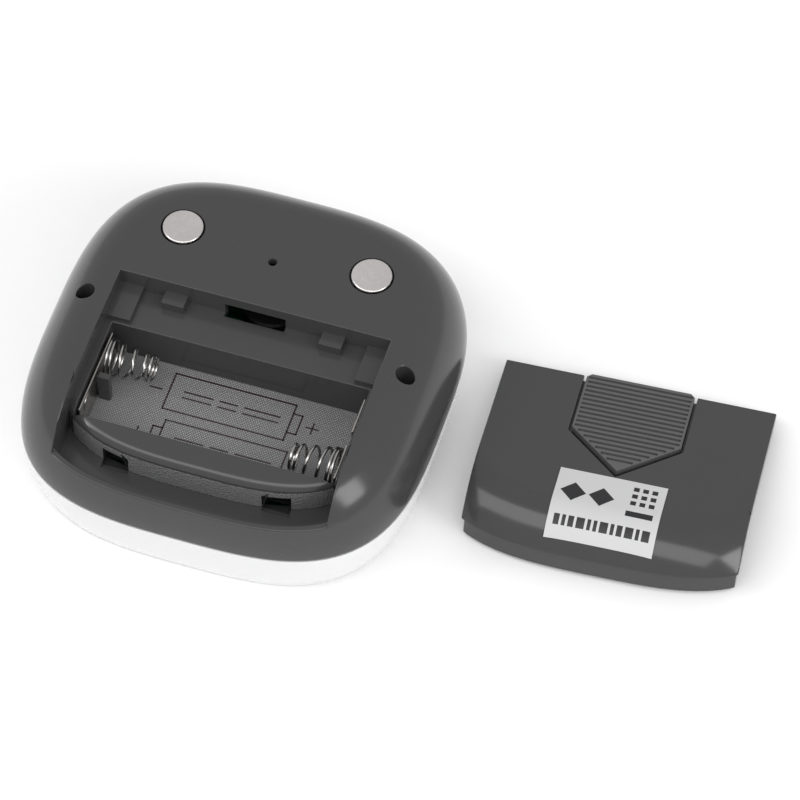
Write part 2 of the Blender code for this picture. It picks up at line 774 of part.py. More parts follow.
def make_door(frame, look):
    """The door is shaped where it closes, and its parent empty lays it on the table."""
    door = loft("battery_door", rear_sections(0, 0, 8, split_height + split_gap), parts)
    far_y = opening_far_y - door_far_gap
    half = opening_half - door_gap
    keep_inside(door, box("door_limits", (-half, -half_length - beyond, lip_z + door_gap),
                          (half, far_y, body_height + beyond)))
    inner = loft("door_inner", rear_sections(door_wall, door_wall, 6, split_height - 0.01))
    flange_z = body_height - door_flange_depth
    flange = box("door_flange", (-half + door_flange, bay_near_y + 0.006, 0.0),
                 (half - door_flange, far_y - door_flange, body_height))
    # Inside the rim the door keeps a border that reaches down to the shelf's ledges.
    border = box("door_border", (-half - 0.01, bay_near_y + 0.006, flange_z),
                 (half + 0.01, far_y + 0.01, body_height))
    cut(border, flange)
    cut(inner, border)
    cut(door, inner)
    cut(door, box("door_border_trim", (-half - 0.01, bay_near_y + 0.006, 0.0),
                  (half + 0.01, far_y + 0.01, flange_z)))

    # A tongue tucks behind the lip, with two toes that reach into the slots.
    inset = tongue_inset()
    low_z = tongue_bottom_z()
    tongue = loft("tongue", straight_sections(inset, low_z, lip_z + tongue_overlap))
    cut(tongue, loft("tongue_hollow", straight_sections(inset + tongue_wall, 0.0, body_height)))
    tongue_half = half - tongue_end_gap
    keep_inside(tongue, box("tongue_limits", (-tongue_half, -half_length, 0.0),
                            (tongue_half, bay_near_y, body_height)))
    join(door, tongue)
    for side in (-1, 1):
        middle = side * slot_spacing / 2
        half_toe = slot_width / 2 - toe_side_gap
        toe = box(f"toe_{side}", (middle - half_toe, -(half_length - inset), low_z + tongue_clearance),
                  (middle + half_toe, toe_tip_y(), low_z + tongue_clearance + toe_height))
        keep_inside(toe, loft(f"toe_limits_{side}", straight_sections(inset + hidden_step, 0.0, body_height)))
        join(door, toe)

    # The latch pad lies in a pocket with a floor, and is rooted on a lug under it.
    pocket = prism("pad_pocket", pad_outline(pad_side_gap, far_y + 0.01, pad_pointed_gap()), 0.0,
                   body_height + beyond)
    cut(door, pocket)
    floor_top = pad_bottom_z() - door_gap
    floor_low = floor_top - pocket_floor_thickness
    lug_far_y = latch_root_y() - pad_travel - door_gap
    floor_half = pad_half_width + pocket_floor_margin
    floor_near = opening_far_y - pad_straight - pad_point - pocket_floor_margin
    floor = box("pocket_floor", (-floor_half, floor_near, floor_low), (floor_half, lug_far_y, floor_top))
    lug = box("latch_lug", (-latch_half_width, lug_far_y - latch_lug_length, body_height - latch_depth + fit),
              (latch_half_width, lug_far_y, floor_top - fit))
    join(door, floor, lug)
    finish(door, look)
    door.parent = frame


def pad_pointed_gap():
    """The gap along the pad's point lets it travel, and keeps a little over."""
    slope = math.hypot(pad_half_width, pad_point)
    return pad_travel * pad_half_width / slope + 0.0001


def pad_bottom_z():
    return body_height + pad_proud - pad_thickness


def latch_root_y():
    return opening_far_y - door_gap - latch_arm - latch_strip_length


def make_latch(frame, look):
    far_y = opening_far_y - door_gap
    top_z = body_height + pad_proud
    latch = prism("door_latch", pad_outline(0, far_y, 0), pad_bottom_z(), top_z, parts)
    low_z = body_height - latch_depth
    arm = box("latch_arm", (-latch_half_width, far_y - latch_arm, low_z),
              (latch_half_width, far_y, top_z - pad_thickness / 2))
    strip = box("latch_strip", (-latch_half_width, latch_root_y(), low_z),
                (latch_half_width, far_y - latch_arm + hidden_step, low_z + latch_strip))
    hook_half = catch_hook_width / 2
    hook = box("latch_hook", (-hook_half, far_y - latch_arm + hidden_step, low_z + catch_hook_rise),
               (hook_half, opening_far_y + catch_hook_reach, low_z + catch_hook_rise + catch_hook_height))
    join(latch, arm, strip, hook)
    finish(latch, look)
    latch.parent = frame


def make_label(frame, look):
    """A thin sticker that follows the door's outer surface."""
    outside = label_thickness + label_glue
    label = loft("rating_label", rear_sections(-outside, -outside, 8, split_height + split_gap), parts)
    far_y = opening_far_y - label_far_offset
    keep_inside(label, box("label_limits", (-label_width / 2, far_y - label_length, 0.0),
                           (label_width / 2, far_y, body_height + 0.01)))
    cut(label, loft("label_inner", rear_sections(-label_glue, -label_glue, 8, split_height - 0.01)))
    finish(label, look)
    label.parent = frame


def make_timer():
    start_scene()
    dark_plastic = material("dark_plastic", (0.075, 0.075, 0.077), 0.35)
    white_plastic = material("white_plastic", (0.87, 0.87, 0.88), 0.25)
    steel = material("steel", (0.62, 0.61, 0.60), 0.3, 1.0)
    nickel = material("nickel", (0.70, 0.68, 0.66), 0.35, 1.0)
    clear = material("clear_window", (0.80, 0.85, 0.86), 0.05, 0.0, 0.35)
    glass = material("lcd_glass", (0.45, 0.50, 0.44), 0.15)
    frame_plastic = material("frame_plastic", (0.80, 0.80, 0.78), 0.45)
    strip_rubber = material("strip_rubber", (0.55, 0.56, 0.58), 0.7)
    board_green = material("board_green", (0.03, 0.20, 0.09), 0.4)
    black_part = material("black_part", (0.02, 0.02, 0.02), 0.5)
    sleeve = material("capacitor_sleeve", (0.06, 0.08, 0.20), 0.4)
    red = material("red_lead", (0.55, 0.03, 0.02), 0.5)
    paper = material("label_paper", (0.72, 0.72, 0.73), 0.45)

    make_rear_shell(dark_plastic)
    make_front_housing(white_plastic)
    make_window_and_display(clear, glass, frame_plastic, strip_rubber)
    make_buttons(white_plastic, black_part)
    make_board(board_green, sleeve, steel, black_part)
    make_screws(steel)
    make_magnets(nickel)
    make_contacts(nickel, steel, red, black_part)
    body_cutters = set(cutters.objects)
    frame = door_frame()
    make_door(frame, dark_plastic)
    make_latch(frame, dark_plastic)
    make_label(frame, paper)
    for cutter in cutters.objects:
        if cutter not in body_cutters:
            cutter.parent = frame


make_timer()
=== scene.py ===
# A palm-size magnetic digital timer on its front, with the battery door lying loose beside it
import math
import random

import bmesh
import bpy
from mathutils import Euler, Matrix, Vector


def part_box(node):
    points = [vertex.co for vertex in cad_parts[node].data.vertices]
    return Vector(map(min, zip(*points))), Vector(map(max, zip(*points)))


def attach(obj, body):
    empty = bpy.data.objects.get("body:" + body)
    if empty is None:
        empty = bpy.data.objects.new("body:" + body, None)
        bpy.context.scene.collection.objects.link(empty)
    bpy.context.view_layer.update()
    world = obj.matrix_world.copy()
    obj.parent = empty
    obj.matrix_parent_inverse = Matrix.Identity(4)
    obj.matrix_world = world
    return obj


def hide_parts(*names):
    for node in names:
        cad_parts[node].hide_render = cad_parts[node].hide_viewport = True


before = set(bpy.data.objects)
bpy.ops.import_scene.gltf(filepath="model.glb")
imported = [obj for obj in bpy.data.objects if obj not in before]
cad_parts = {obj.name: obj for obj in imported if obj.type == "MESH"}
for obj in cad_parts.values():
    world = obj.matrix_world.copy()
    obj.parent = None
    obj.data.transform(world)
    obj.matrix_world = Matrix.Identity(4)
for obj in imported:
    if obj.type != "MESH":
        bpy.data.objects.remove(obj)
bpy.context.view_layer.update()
mm = 0.001
beyond = 50 * mm  # longer than anything that is cut
clear = 10 * mm  # how far a cutter stands clear of a face

# Shape of the case, shared by the shell, the housing, the door and the label
caseLow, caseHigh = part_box("rear_shell")
case = {
    "halfX": caseHigh.x,
    "halfY": caseHigh.y,
    "top": caseHigh.z,
    "power": 3.2,
    "split": 12.9 * mm,
    "seam": 0.3 * mm,
    "rearRound": 10.6 * mm,
    "rearPower": 1.85,
    "frontRound": 3.1 * mm,
    "frontPower": 1.5,
    "sideWall": 1.8 * mm,
    "backWall": 2.0 * mm,
    "frontWall": 1.8 * mm,
    "points": 160,
}
bay = {
    "halfX": 26.0 * mm,
    "nearY": -24.7 * mm,
    "farY": -2.5 * mm,
    "floor": 14.0 * mm,
    "wall": 1.8 * mm,
    "bottom": 12.5 * mm,
    "cellRadius": 5.25 * mm,
}
bay["middleY"] = (bay["nearY"] + bay["farY"]) / 2
seat = {
    "halfX": 27.3 * mm,
    "farY": 6.4 * mm,
    "shelf": 23.0 * mm,
    "shelfWall": 1.6 * mm,
    "lip": 20.7 * mm,
    "lipWall": 1.0 * mm,
    "groove": 16.0 * mm,
    "grooveWall": 1.4 * mm,
    "rampInset": 9.6 * mm,
    "rampWiden": 2.6 * mm,
    "rampRound": 2.0 * mm,
    "slotSpacing": 32.2 * mm,
    "slotWidth": 5.2 * mm,
    "slotHeight": 3.6 * mm,
}


# Making meshes

def newObject(name, build):
    mesh = bpy.data.meshes.new(name)
    build.to_mesh(mesh)
    build.free()
    piece = bpy.data.objects.new(name, mesh)
    bpy.context.scene.collection.objects.link(piece)
    return piece


def block(name, low, high, rounding=0.0, segments=3):
    build = bmesh.new()
    size = Vector(high) - Vector(low)
    middle = (Vector(high) + Vector(low)) / 2
    bmesh.ops.create_cube(build, size=1.0, matrix=Matrix.LocRotScale(middle, None, size))
    if rounding:
        bmesh.ops.bevel(build, geom=build.edges[:], offset=rounding, segments=segments, profile=0.5,
                        affect="EDGES")
    return newObject(name, build)


def rod(name, radius, lowZ, highZ, x=0.0, y=0.0, sides=48):
    build = bmesh.new()
    bmesh.ops.create_cone(build, cap_ends=True, segments=sides, radius1=radius, radius2=radius,
                          depth=highZ - lowZ, matrix=Matrix.Translation((x, y, (lowZ + highZ) / 2)))
    return newObject(name, build)


def roundedOutline(halfX, halfY, count=case["points"]):
    power = case["power"]
    outline = []
    for step in range(count):
        angle = 2 * math.pi * step / count
        along, across = math.cos(angle), math.sin(angle)
        reach = (abs(along) ** power + abs(across) ** power) ** (-1 / power)
        outline.append((halfX * along * reach, halfY * across * reach))
    return outline


def loft(name, sections):
    # Rounded outlines, each (halfX, halfY, z), from the bottom up
    build = bmesh.new()
    rings = [[build.verts.new((x, y, z)) for x, y in roundedOutline(halfX, halfY)]
             for halfX, halfY, z in sections]
    for lower, upper in zip(rings, rings[1:]):
        for step in range(len(lower)):
            after = (step + 1) % len(lower)
            build.faces.new((lower[step], lower[after], upper[after], upper[step]))
    build.faces.new(list(reversed(rings[0])))
    build.faces.new(rings[-1])
    bmesh.ops.recalc_face_normals(build, faces=build.faces)
    return newObject(name, build)


def prism(name, outline, lowZ, highZ):
    build = bmesh.new()
    face = build.faces.new([build.verts.new((x, y, lowZ)) for x, y in outline])
    drawn = bmesh.ops.extrude_face_region(build, geom=[face])
    top = [item for item in drawn["geom"] if isinstance(item, bmesh.types.BMVert)]
    bmesh.ops.translate(build, verts=top, vec=(0, 0, highZ - lowZ))
    bmesh.ops.recalc_face_normals(build, faces=build.faces)
    return newObject(name, build)


def lathe(name, profile, x, y, steps=64):
    # (radius, z) from the top down the outside; a radius of 0 closes on the axis
    build = bmesh.new()
    rings = []
    for radius, z in profile:
        if radius < 1e-7:
            rings.append([build.verts.new((x, y, z))])
            continue
        ring = []
        for step in range(steps):
            angle = 2 * math.pi * step / steps
            ring.append(build.verts.new((x + radius * math.cos(angle), y + radius * math.sin(angle), z)))
        rings.append(ring)
    for upper, lower in zip(rings, rings[1:]):
        for step in range(steps):
            after = (step + 1) % steps
            corners = [upper[step % len(upper)], lower[step % len(lower)], lower[after % len(lower)],
                       upper[after % len(upper)]]
            build.faces.new(list(dict.fromkeys(corners)))
    bmesh.ops.recalc_face_normals(build, faces=build.faces)
    return newObject(name, build)


def bakeShape(piece):
    graph = bpy.context.evaluated_depsgraph_get()
    shape = bpy.data.meshes.new_from_object(piece.evaluated_get(graph))
    old = piece.data
    piece.modifiers.clear()
    piece.data = shape
    bpy.data.meshes.remove(old)


def combine(piece, operation, others):
    for other in others:
        step = piece.modifiers.new(other.name, "BOOLEAN")
        step.operation = operation
        step.solver = "EXACT"
        step.object = other
    bakeShape(piece)
    for other in others:
        bpy.data.objects.remove(other, do_unlink=True)
    return piece


def carve(piece, *cutters):
    return combine(piece, "DIFFERENCE", cutters)


def weld(piece, *others):
    return combine(piece, "UNION", others)


def keepInside(piece, *others):
    return combine(piece, "INTERSECT", others)


def dropSlivers(build, least=0.02 * mm ** 2):
    # Deletes loose islands of faces that are too small to be seen
    waiting = set(build.faces)
    while waiting:
        island = {waiting.pop()}
        edge = list(island)
        while edge:
            face = edge.pop()
            for side in face.edges:
                for other in side.link_faces:
                    if other not in island:
                        island.add(other)
                        edge.append(other)
        waiting -= island
        if sum(face.calc_area() for face in island) < least:
            bmesh.ops.delete(build, geom=list(island), context="FACES")


def softenEdges(piece, width, angle=38, segments=2, merge=0.00002):
    # Rounds each crisp outer edge a little, after closing up the shortest ones
    build = bmesh.new()
    build.from_mesh(piece.data)
    bmesh.ops.remove_doubles(build, verts=build.verts[:], dist=merge)
    bmesh.ops.dissolve_degenerate(build, dist=merge / 2, edges=build.edges[:])
    crisp = [edge for edge in build.edges
             if len(edge.link_faces) == 2 and edge.calc_face_angle_signed(0) > math.radians(angle)]
    bmesh.ops.bevel(build, geom=crisp, offset=width, offset_type="OFFSET", segments=segments,
                    profile=0.5, affect="EDGES", clamp_overlap=False, harden_normals=False)
    bmesh.ops.remove_doubles(build, verts=build.verts[:], dist=0.001 * mm)
    bmesh.ops.dissolve_degenerate(build, dist=0.001 * mm, edges=build.edges[:])
    dropSlivers(build)
    build.to_mesh(piece.data)
    build.free()
    return piece


def smooth(piece, angle=40):
    piece.data.shade_smooth()
    piece.data.set_sharp_from_angle(angle=math.radians(angle))
    normals = piece.modifiers.new("faceNormals", "WEIGHTED_NORMAL")
    normals.keep_sharp = True
    return piece


def place(piece, look, body, replaced=()):
    piece.data.materials.clear()
    piece.data.materials.append(look)
    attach(piece, body)
    if replaced:
        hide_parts(*replaced)
    return piece


def joinPieces(name, pieces):
    build = bmesh.new()
    for piece in pieces:
        build.from_mesh(piece.data)
        bpy.data.objects.remove(piece, do_unlink=True)
    return newObject(name, build)


# Node groups shared by the materials

def newGroup(name, inputs, outputs):
    group = bpy.data.node_groups.new(name, "ShaderNodeTree")
    for label, kind, value in inputs:
        socket = group.interface.new_socket(label, in_out="INPUT", socket_type=kind)
        if value is not None:
            socket.default_value = value
    for label, kind in outputs:
        group.interface.new_socket(label, in_out="OUTPUT", socket_type=kind)
    return group, group.nodes.new("NodeGroupInput"), group.nodes.new("NodeGroupOutput")


def addNode(tree, kind, links=None, **settings):
    # links: input name or number -> a socket to link, or a plain value
    node = tree.nodes.new(kind)
    for name, value in settings.items():
        setattr(node, name, value)
    for key, value in (links or {}).items():
        if isinstance(value, bpy.types.NodeSocket):
            tree.links.new(value, node.inputs[key])
        else:
            node.inputs[key].default_value = value
    return node


def maths(tree, operation, first, second=0.5):
    return addNode(tree, "ShaderNodeMath", {0: first, 1: second}, operation=operation).outputs[0]


def mixColour(tree, amount, first, second):
    mixed = addNode(tree, "ShaderNodeMix", {"Factor": amount, 6: first, 7: second}, data_type="RGBA")
    return mixed.outputs[2]


def makeFineGrain():
    # Fine moulding grain: a varying roughness and a normal
    group, given, out = newGroup(
        "fineGrain",
        [("Vector", "NodeSocketVector", None), ("Grain Scale", "NodeSocketFloat", 9000.0),
         ("Grain Height", "NodeSocketFloat", 0.00001), ("Roughness", "NodeSocketFloat", 0.3),
         ("Spread", "NodeSocketFloat", 0.1)],
        [("Roughness", "NodeSocketFloat"), ("Normal", "NodeSocketVector")])
    fine = addNode(group, "ShaderNodeTexNoise",
                   {"Vector": given.outputs["Vector"], "Scale": given.outputs["Grain Scale"], "Detail": 3.0})
    broad = addNode(group, "ShaderNodeTexNoise",
                    {"Vector": given.outputs["Vector"], "Scale": 120.0, "Detail": 5.0})
    centred = maths(group, "SUBTRACT", broad.outputs["Fac"], 0.5)
    drift = maths(group, "MULTIPLY", centred, given.outputs["Spread"])
    rough = maths(group, "ADD", given.outputs["Roughness"], drift)
    bump = addNode(group, "ShaderNodeBump",
                   {"Height": fine.outputs["Fac"], "Distance": given.outputs["Grain Height"],
                    "Strength": 1.0})
    group.links.new(rough, out.inputs["Roughness"])
    group.links.new(bump.outputs["Normal"], out.inputs["Normal"])
    return group


def makeColourDrift():
    # A colour that wanders slightly lighter and darker, with a few pale specks of dust
    group, given, out = newGroup(
        "colourDrift",
        [("Vector", "NodeSocketVector", None), ("Colour", "NodeSocketColor", (0.5, 0.5, 0.5, 1.0)),
         ("Drift", "NodeSocketFloat", 0.1), ("Dust", "NodeSocketFloat", 0.02)],
        [("Colour", "NodeSocketColor")])
    broad = addNode(group, "ShaderNodeTexNoise",
                    {"Vector": given.outputs["Vector"], "Scale": 60.0, "Detail": 6.0})
    centred = maths(group, "SUBTRACT", broad.outputs["Fac"], 0.5)
    amount = maths(group, "MULTIPLY", centred, given.outputs["Drift"])
    value = maths(group, "ADD", amount, 1.0)
    tinted = addNode(group, "ShaderNodeHueSaturation",
                     {"Hue": 0.5, "Saturation": 1.0, "Value": value, "Fac": 1.0,
                      "Color": given.outputs["Colour"]})
    specks = addNode(group, "ShaderNodeTexVoronoi", {"Vector": given.outputs["Vector"], "Scale": 700.0})
    near = maths(group, "LESS_THAN", specks.outputs["Distance"], 0.07)
    dust = maths(group, "MULTIPLY", near, given.outputs["Dust"])
    mixed = mixColour(group, dust, tinted.outputs["Color"], (0.8, 0.8, 0.78, 1))
    group.links.new(mixed, out.inputs["Colour"])
    return group


def makeBoxMask():
    # 1 inside a box of the object's own coordinates, 0 outside
    group, given, out = newGroup(
        "boxMask",
        [("Vector", "NodeSocketVector", None), ("Low", "NodeSocketVector", (0, 0, 0)),
         ("High", "NodeSocketVector", (1, 1, 1))],
        [("Mask", "NodeSocketFloat")])
    above = addNode(group, "ShaderNodeVectorMath", {0: given.outputs["Vector"], 1: given.outputs["Low"]},
                    operation="SUBTRACT")
    below = addNode(group, "ShaderNodeVectorMath", {0: given.outputs["High"], 1: given.outputs["Vector"]},
                    operation="SUBTRACT")
    least = addNode(group, "ShaderNodeVectorMath", {0: above.outputs[0], 1: below.outputs[0]},
                    operation="MINIMUM")
    split = addNode(group, "ShaderNodeSeparateXYZ", {0: least.outputs[0]})
    pair = maths(group, "MINIMUM", split.outputs[0], split.outputs[1])
    inside = maths(group, "GREATER_THAN", maths(group, "MINIMUM", pair, split.outputs[2]), 0.0)
    group.links.new(inside, out.inputs["Mask"])
    return group


def makeMouldWeave():
    # Rows of short dashes, each row shifted by half a dash
    group, given, out = newGroup(
        "mouldWeave",
        [("Vector", "NodeSocketVector", None), ("Pitch", "NodeSocketFloat", 0.00045)],
        [("Height", "NodeSocketFloat")])
    scale = maths(group, "DIVIDE", 1.0, given.outputs["Pitch"])
    brick = addNode(group, "ShaderNodeTexBrick",
                    {"Vector": given.outputs["Vector"], "Scale": scale, "Mortar Size": 0.17,
                     "Mortar Smooth": 0.6, "Brick Width": 1.1, "Row Height": 0.8,
                     "Color1": (1, 1, 1, 1), "Color2": (0.8, 0.8, 0.8, 1), "Mortar": (0, 0, 0, 1)})
    group.links.new(brick.outputs["Color"], out.inputs["Height"])
    return group


def makeScratches():
    # Long thin scratches that run one way, as a mask
    group, given, out = newGroup(
        "scratches",
        [("Vector", "NodeSocketVector", None), ("Stretch", "NodeSocketVector", (400, 9000, 400))],
        [("Mask", "NodeSocketFloat")])
    longer = addNode(group, "ShaderNodeVectorMath", {0: given.outputs["Vector"], 1: given.outputs["Stretch"]},
                     operation="MULTIPLY")
    noise = addNode(group, "ShaderNodeTexNoise", {"Vector": longer.outputs[0], "Scale": 1.0, "Detail": 2.0})
    group.links.new(noise.outputs["Fac"], out.inputs["Mask"])
    return group


fineGrain = makeFineGrain()
colourDrift = makeColourDrift()
boxMask = makeBoxMask()
mouldWeave = makeMouldWeave()
scratches = makeScratches()


# Materials

def startLook(name):
    look = bpy.data.materials.new(name)
    look.use_nodes = True
    tree = look.node_tree
    shader = tree.nodes["Principled BSDF"]
    where = tree.nodes.new("ShaderNodeTexCoord").outputs["Object"]
    return look, tree, shader, where


def fillGroup(tree, group, links):
    return addNode(tree, "ShaderNodeGroup", links, node_tree=group)


def plasticLook(name, colour, roughness, spread=0.06, drift=0.08, dust=0.03, grain=9000.0,
                height=0.000004, coat=0.0, metallic=0.0):
    look, tree, shader, where = startLook(name)
    tint = fillGroup(tree, colourDrift,
                     {"Vector": where, "Colour": (*colour, 1), "Drift": drift, "Dust": dust})
    skin = fillGroup(tree, fineGrain, {"Vector": where, "Grain Scale": grain, "Grain Height": height,
                                       "Roughness": roughness, "Spread": spread})
    tree.links.new(tint.outputs["Colour"], shader.inputs["Base Color"])
    tree.links.new(skin.outputs["Roughness"], shader.inputs["Roughness"])
    tree.links.new(skin.outputs["Normal"], shader.inputs["Normal"])
    shader.inputs["Metallic"].default_value = metallic
    shader.inputs["Coat Weight"].default_value = coat
    shader.inputs["Coat Roughness"].default_value = 0.08
    return look


def metalLook(name, colour, roughness, scratch=0.12, stretch=(500, 9000, 500), height=0.000004):
    look, tree, shader, where = startLook(name)
    tint = fillGroup(tree, colourDrift,
                     {"Vector": where, "Colour": (*colour, 1), "Drift": 0.25, "Dust": 0.05})
    lines = fillGroup(tree, scratches, {"Vector": where, "Stretch": stretch})
    centred = maths(tree, "SUBTRACT", lines.outputs["Mask"], 0.5)
    rough = maths(tree, "ADD", maths(tree, "MULTIPLY", centred, scratch * 2), roughness)
    bump = addNode(tree, "ShaderNodeBump",
                   {"Height": lines.outputs["Mask"], "Distance": height, "Strength": 1.0})
    tree.links.new(tint.outputs["Colour"], shader.inputs["Base Color"])
    tree.links.new(rough, shader.inputs["Roughness"])
    tree.links.new(bump.outputs["Normal"], shader.inputs["Normal"])
    shader.inputs["Metallic"].default_value = 1.0
    return look


finish = {
    "rampLow": (-27.2 * mm, -32.5 * mm, 16.15 * mm),  # where the ramp is frosted
    "rampHigh": (27.2 * mm, -24.9 * mm, 21.3 * mm),
    "rampColour": (0.19, 0.19, 0.193, 1),
    "rampRougher": 0.22,
    "sparkleScale": 2800.0,
    "sparkleHeight": 0.3 * mm,
    "floorMargin": (1.0 * mm, 0.2 * mm, 0.1 * mm),  # where the bay's floor is woven
    "floorRougher": 0.25,
    "weavePitch": 0.46 * mm,
    "weaveHeight": 0.08 * mm,
    "weaveDark": (0.085, 0.085, 0.087, 1),
    "weaveLight": (0.34, 0.34, 0.345, 1),
    # Painted shade: the box where the toe slots' walls are painted near black
    "slotShadeLow": (13.4 * mm, 25.0 * mm, 14.0 * mm),  # the toe slots, folded onto one
    "slotShadeHigh": (18.8 * mm, 29.4 * mm, 19.65 * mm),
    "slotShadeColour": (0.003, 0.003, 0.003, 1),
    "slotRougher": 0.6,
}


def shellLook():
    # Satin dark plastic, with a woven texture on the bay's floor, a sparkling frosted ramp and painted shade
    # in the toe slots
    look, tree, shader, where = startLook("shellPlastic")
    sideways, along, upward = finish["floorMargin"]
    ramp = fillGroup(tree, boxMask, {"Vector": where, "Low": finish["rampLow"], "High": finish["rampHigh"]})
    floorLow = (-bay["halfX"] - sideways, bay["nearY"] - along, bay["floor"] - upward)
    floorHigh = (bay["halfX"] + sideways, bay["farY"] + along, bay["floor"] + upward)
    floor = fillGroup(tree, boxMask, {"Vector": where, "Low": floorLow, "High": floorHigh})
    weave = fillGroup(tree, mouldWeave, {"Vector": where, "Pitch": finish["weavePitch"]})
    sparkle = addNode(tree, "ShaderNodeTexVoronoi", {"Vector": where, "Scale": finish["sparkleScale"]})
    sparkleHeight = maths(tree, "MULTIPLY", sparkle.outputs["Distance"], ramp.outputs["Mask"])
    weaveHeight = maths(tree, "MULTIPLY", weave.outputs["Height"], floor.outputs["Mask"])
    tint = fillGroup(tree, colourDrift,
                     {"Vector": where, "Colour": (*dark["colour"], 1), "Drift": 0.08, "Dust": 0.03})
    frosted = mixColour(tree, ramp.outputs["Mask"], tint.outputs["Colour"], finish["rampColour"])
    weaveTone = mixColour(tree, weave.outputs["Height"], finish["weaveDark"], finish["weaveLight"])
    floored = mixColour(tree, floor.outputs["Mask"], frosted, weaveTone)
    # Painted shade: the toe slots' own walls are painted near black, standing in for the shade inside them
    folded = addNode(tree, "ShaderNodeVectorMath", {0: where}, operation="ABSOLUTE")
    slots = fillGroup(tree, boxMask, {"Vector": folded.outputs[0], "Low": finish["slotShadeLow"],
                                      "High": finish["slotShadeHigh"]})
    shaded = mixColour(tree, slots.outputs["Mask"], floored, finish["slotShadeColour"])
    skin = fillGroup(tree, fineGrain, {"Vector": where, "Grain Scale": 9000.0, "Grain Height": 0.000002,
                                       "Roughness": dark["roughness"], "Spread": 0.05})
    rougher = maths(tree, "ADD", maths(tree, "MULTIPLY", ramp.outputs["Mask"], finish["rampRougher"]),
                    maths(tree, "MULTIPLY", floor.outputs["Mask"], finish["floorRougher"]))
    rough = maths(tree, "ADD", maths(tree, "ADD", skin.outputs["Roughness"], rougher),
                  maths(tree, "MULTIPLY", slots.outputs["Mask"], finish["slotRougher"]))
    sparkleBump = addNode(tree, "ShaderNodeBump",
                          {"Height": sparkleHeight, "Distance": finish["sparkleHeight"], "Strength": 1.0,
                           "Normal": skin.outputs["Normal"]})
    weaveBump = addNode(tree, "ShaderNodeBump", {"Height": weaveHeight, "Distance": finish["weaveHeight"],
                                                 "Strength": 1.0, "Normal": sparkleBump.outputs["Normal"]})
    tree.links.new(shaded, shader.inputs["Base Color"])
    tree.links.new(rough, shader.inputs["Roughness"])
    tree.links.new(weaveBump.outputs["Normal"], shader.inputs["Normal"])
    return look


def clearLook(name, tint, roughness, transmission):
    look, tree, shader, where = startLook(name)
    skin = fillGroup(tree, fineGrain, {"Vector": where, "Grain Scale": 300.0, "Grain Height": 0.000001,
                                       "Roughness": roughness, "Spread": 0.03})
    shade = fillGroup(tree, colourDrift, {"Vector": where, "Colour": (*tint, 1), "Drift": 0.02, "Dust": 0.0})
    tree.links.new(shade.outputs["Colour"], shader.inputs["Base Color"])
    tree.links.new(skin.outputs["Roughness"], shader.inputs["Roughness"])
    shader.inputs["Transmission Weight"].default_value = transmission
    shader.inputs["IOR"].default_value = 1.49
    return look


def boardLook():
    # Green solder mask over a faint pattern of tracks
    look, tree, shader, where = startLook("boardMask")
    tracks = addNode(tree, "ShaderNodeTexBrick", {"Vector": where, "Scale": 260.0, "Mortar Size": 0.06,
                                                  "Brick Width": 1.6, "Row Height": 0.5,
                                                  "Color1": (0.006, 0.045, 0.02, 1),
                                                  "Color2": (0.008, 0.055, 0.025, 1),
                                                  "Mortar": (0.02, 0.10, 0.05, 1)})
    skin = fillGroup(tree, fineGrain, {"Vector": where, "Roughness": 0.35, "Spread": 0.1})
    tree.links.new(tracks.outputs["Color"], shader.inputs["Base Color"])
    tree.links.new(skin.outputs["Roughness"], shader.inputs["Roughness"])
    tree.links.new(skin.outputs["Normal"], shader.inputs["Normal"])
    return look


dark = {"colour": (0.047, 0.047, 0.048), "roughness": 0.17}
darkShell = shellLook()
darkDoor = plasticLook("doorPlastic", dark["colour"], 0.15, height=0.000001)
padPlastic = plasticLook("padPlastic", (0.095, 0.095, 0.096), 0.3, height=0.000004)
whiteGloss = plasticLook("whiteGloss", (0.76, 0.76, 0.765), 0.16, drift=0.02, dust=0.0,
                         height=0.000001, coat=0.3)
whitePlain = plasticLook("whitePlain", (0.72, 0.72, 0.70), 0.45)
nickel = metalLook("nickel", (0.74, 0.705, 0.695), 0.3, scratch=0.3,
                   stretch=(1400, 1400, 1400), height=0.00002)
plateMetal = metalLook("plateMetal", (0.44, 0.42, 0.40), 0.28, stretch=(500, 500, 9000))
springSteel = metalLook("springSteel", (0.46, 0.45, 0.44), 0.2, scratch=0.06, stretch=(3000, 3000, 3000))
screwSteel = metalLook("screwSteel", (0.50, 0.50, 0.50), 0.3)
labelFilm = plasticLook("labelFilm", (0.56, 0.56, 0.565), 0.42, drift=0.05, dust=0.0,
                        grain=2500.0, height=0.000003)
labelInk = plasticLook("labelInk", (0.012, 0.012, 0.014), 0.4, drift=0.1, dust=0.0)
bayInk = plasticLook("bayInk", (0.022, 0.009, 0.008), 0.5, drift=0.3, dust=0.0)
blackPart = plasticLook("blackPart", (0.012, 0.012, 0.012), 0.5)
sleeveBlue = plasticLook("sleeveBlue", (0.03, 0.05, 0.14), 0.35)
redSleeve = plasticLook("redSleeve", (0.45, 0.02, 0.015), 0.45)
contactRubber = plasticLook("contactRubber", (0.35, 0.36, 0.38), 0.7)
lcdGlass = plasticLook("lcdGlass", (0.36, 0.40, 0.34), 0.2, drift=0.03, dust=0.0, height=0.0000005)
lcdInk = plasticLook("lcdInk", (0.03, 0.035, 0.03), 0.3, drift=0.05, dust=0.0)
lensClear = clearLook("lensClear", (0.97, 0.98, 0.98), 0.04, 1.0)
boardGreen = boardLook()
print("materials ready")


# The case's curved surface

def rearInset(z):
    rise = max(0.0, (z - case["split"]) / (case["top"] - case["split"]))
    return case["rearRound"] * (1 - (1 - rise ** case["rearPower"]) ** (1 / case["rearPower"]))


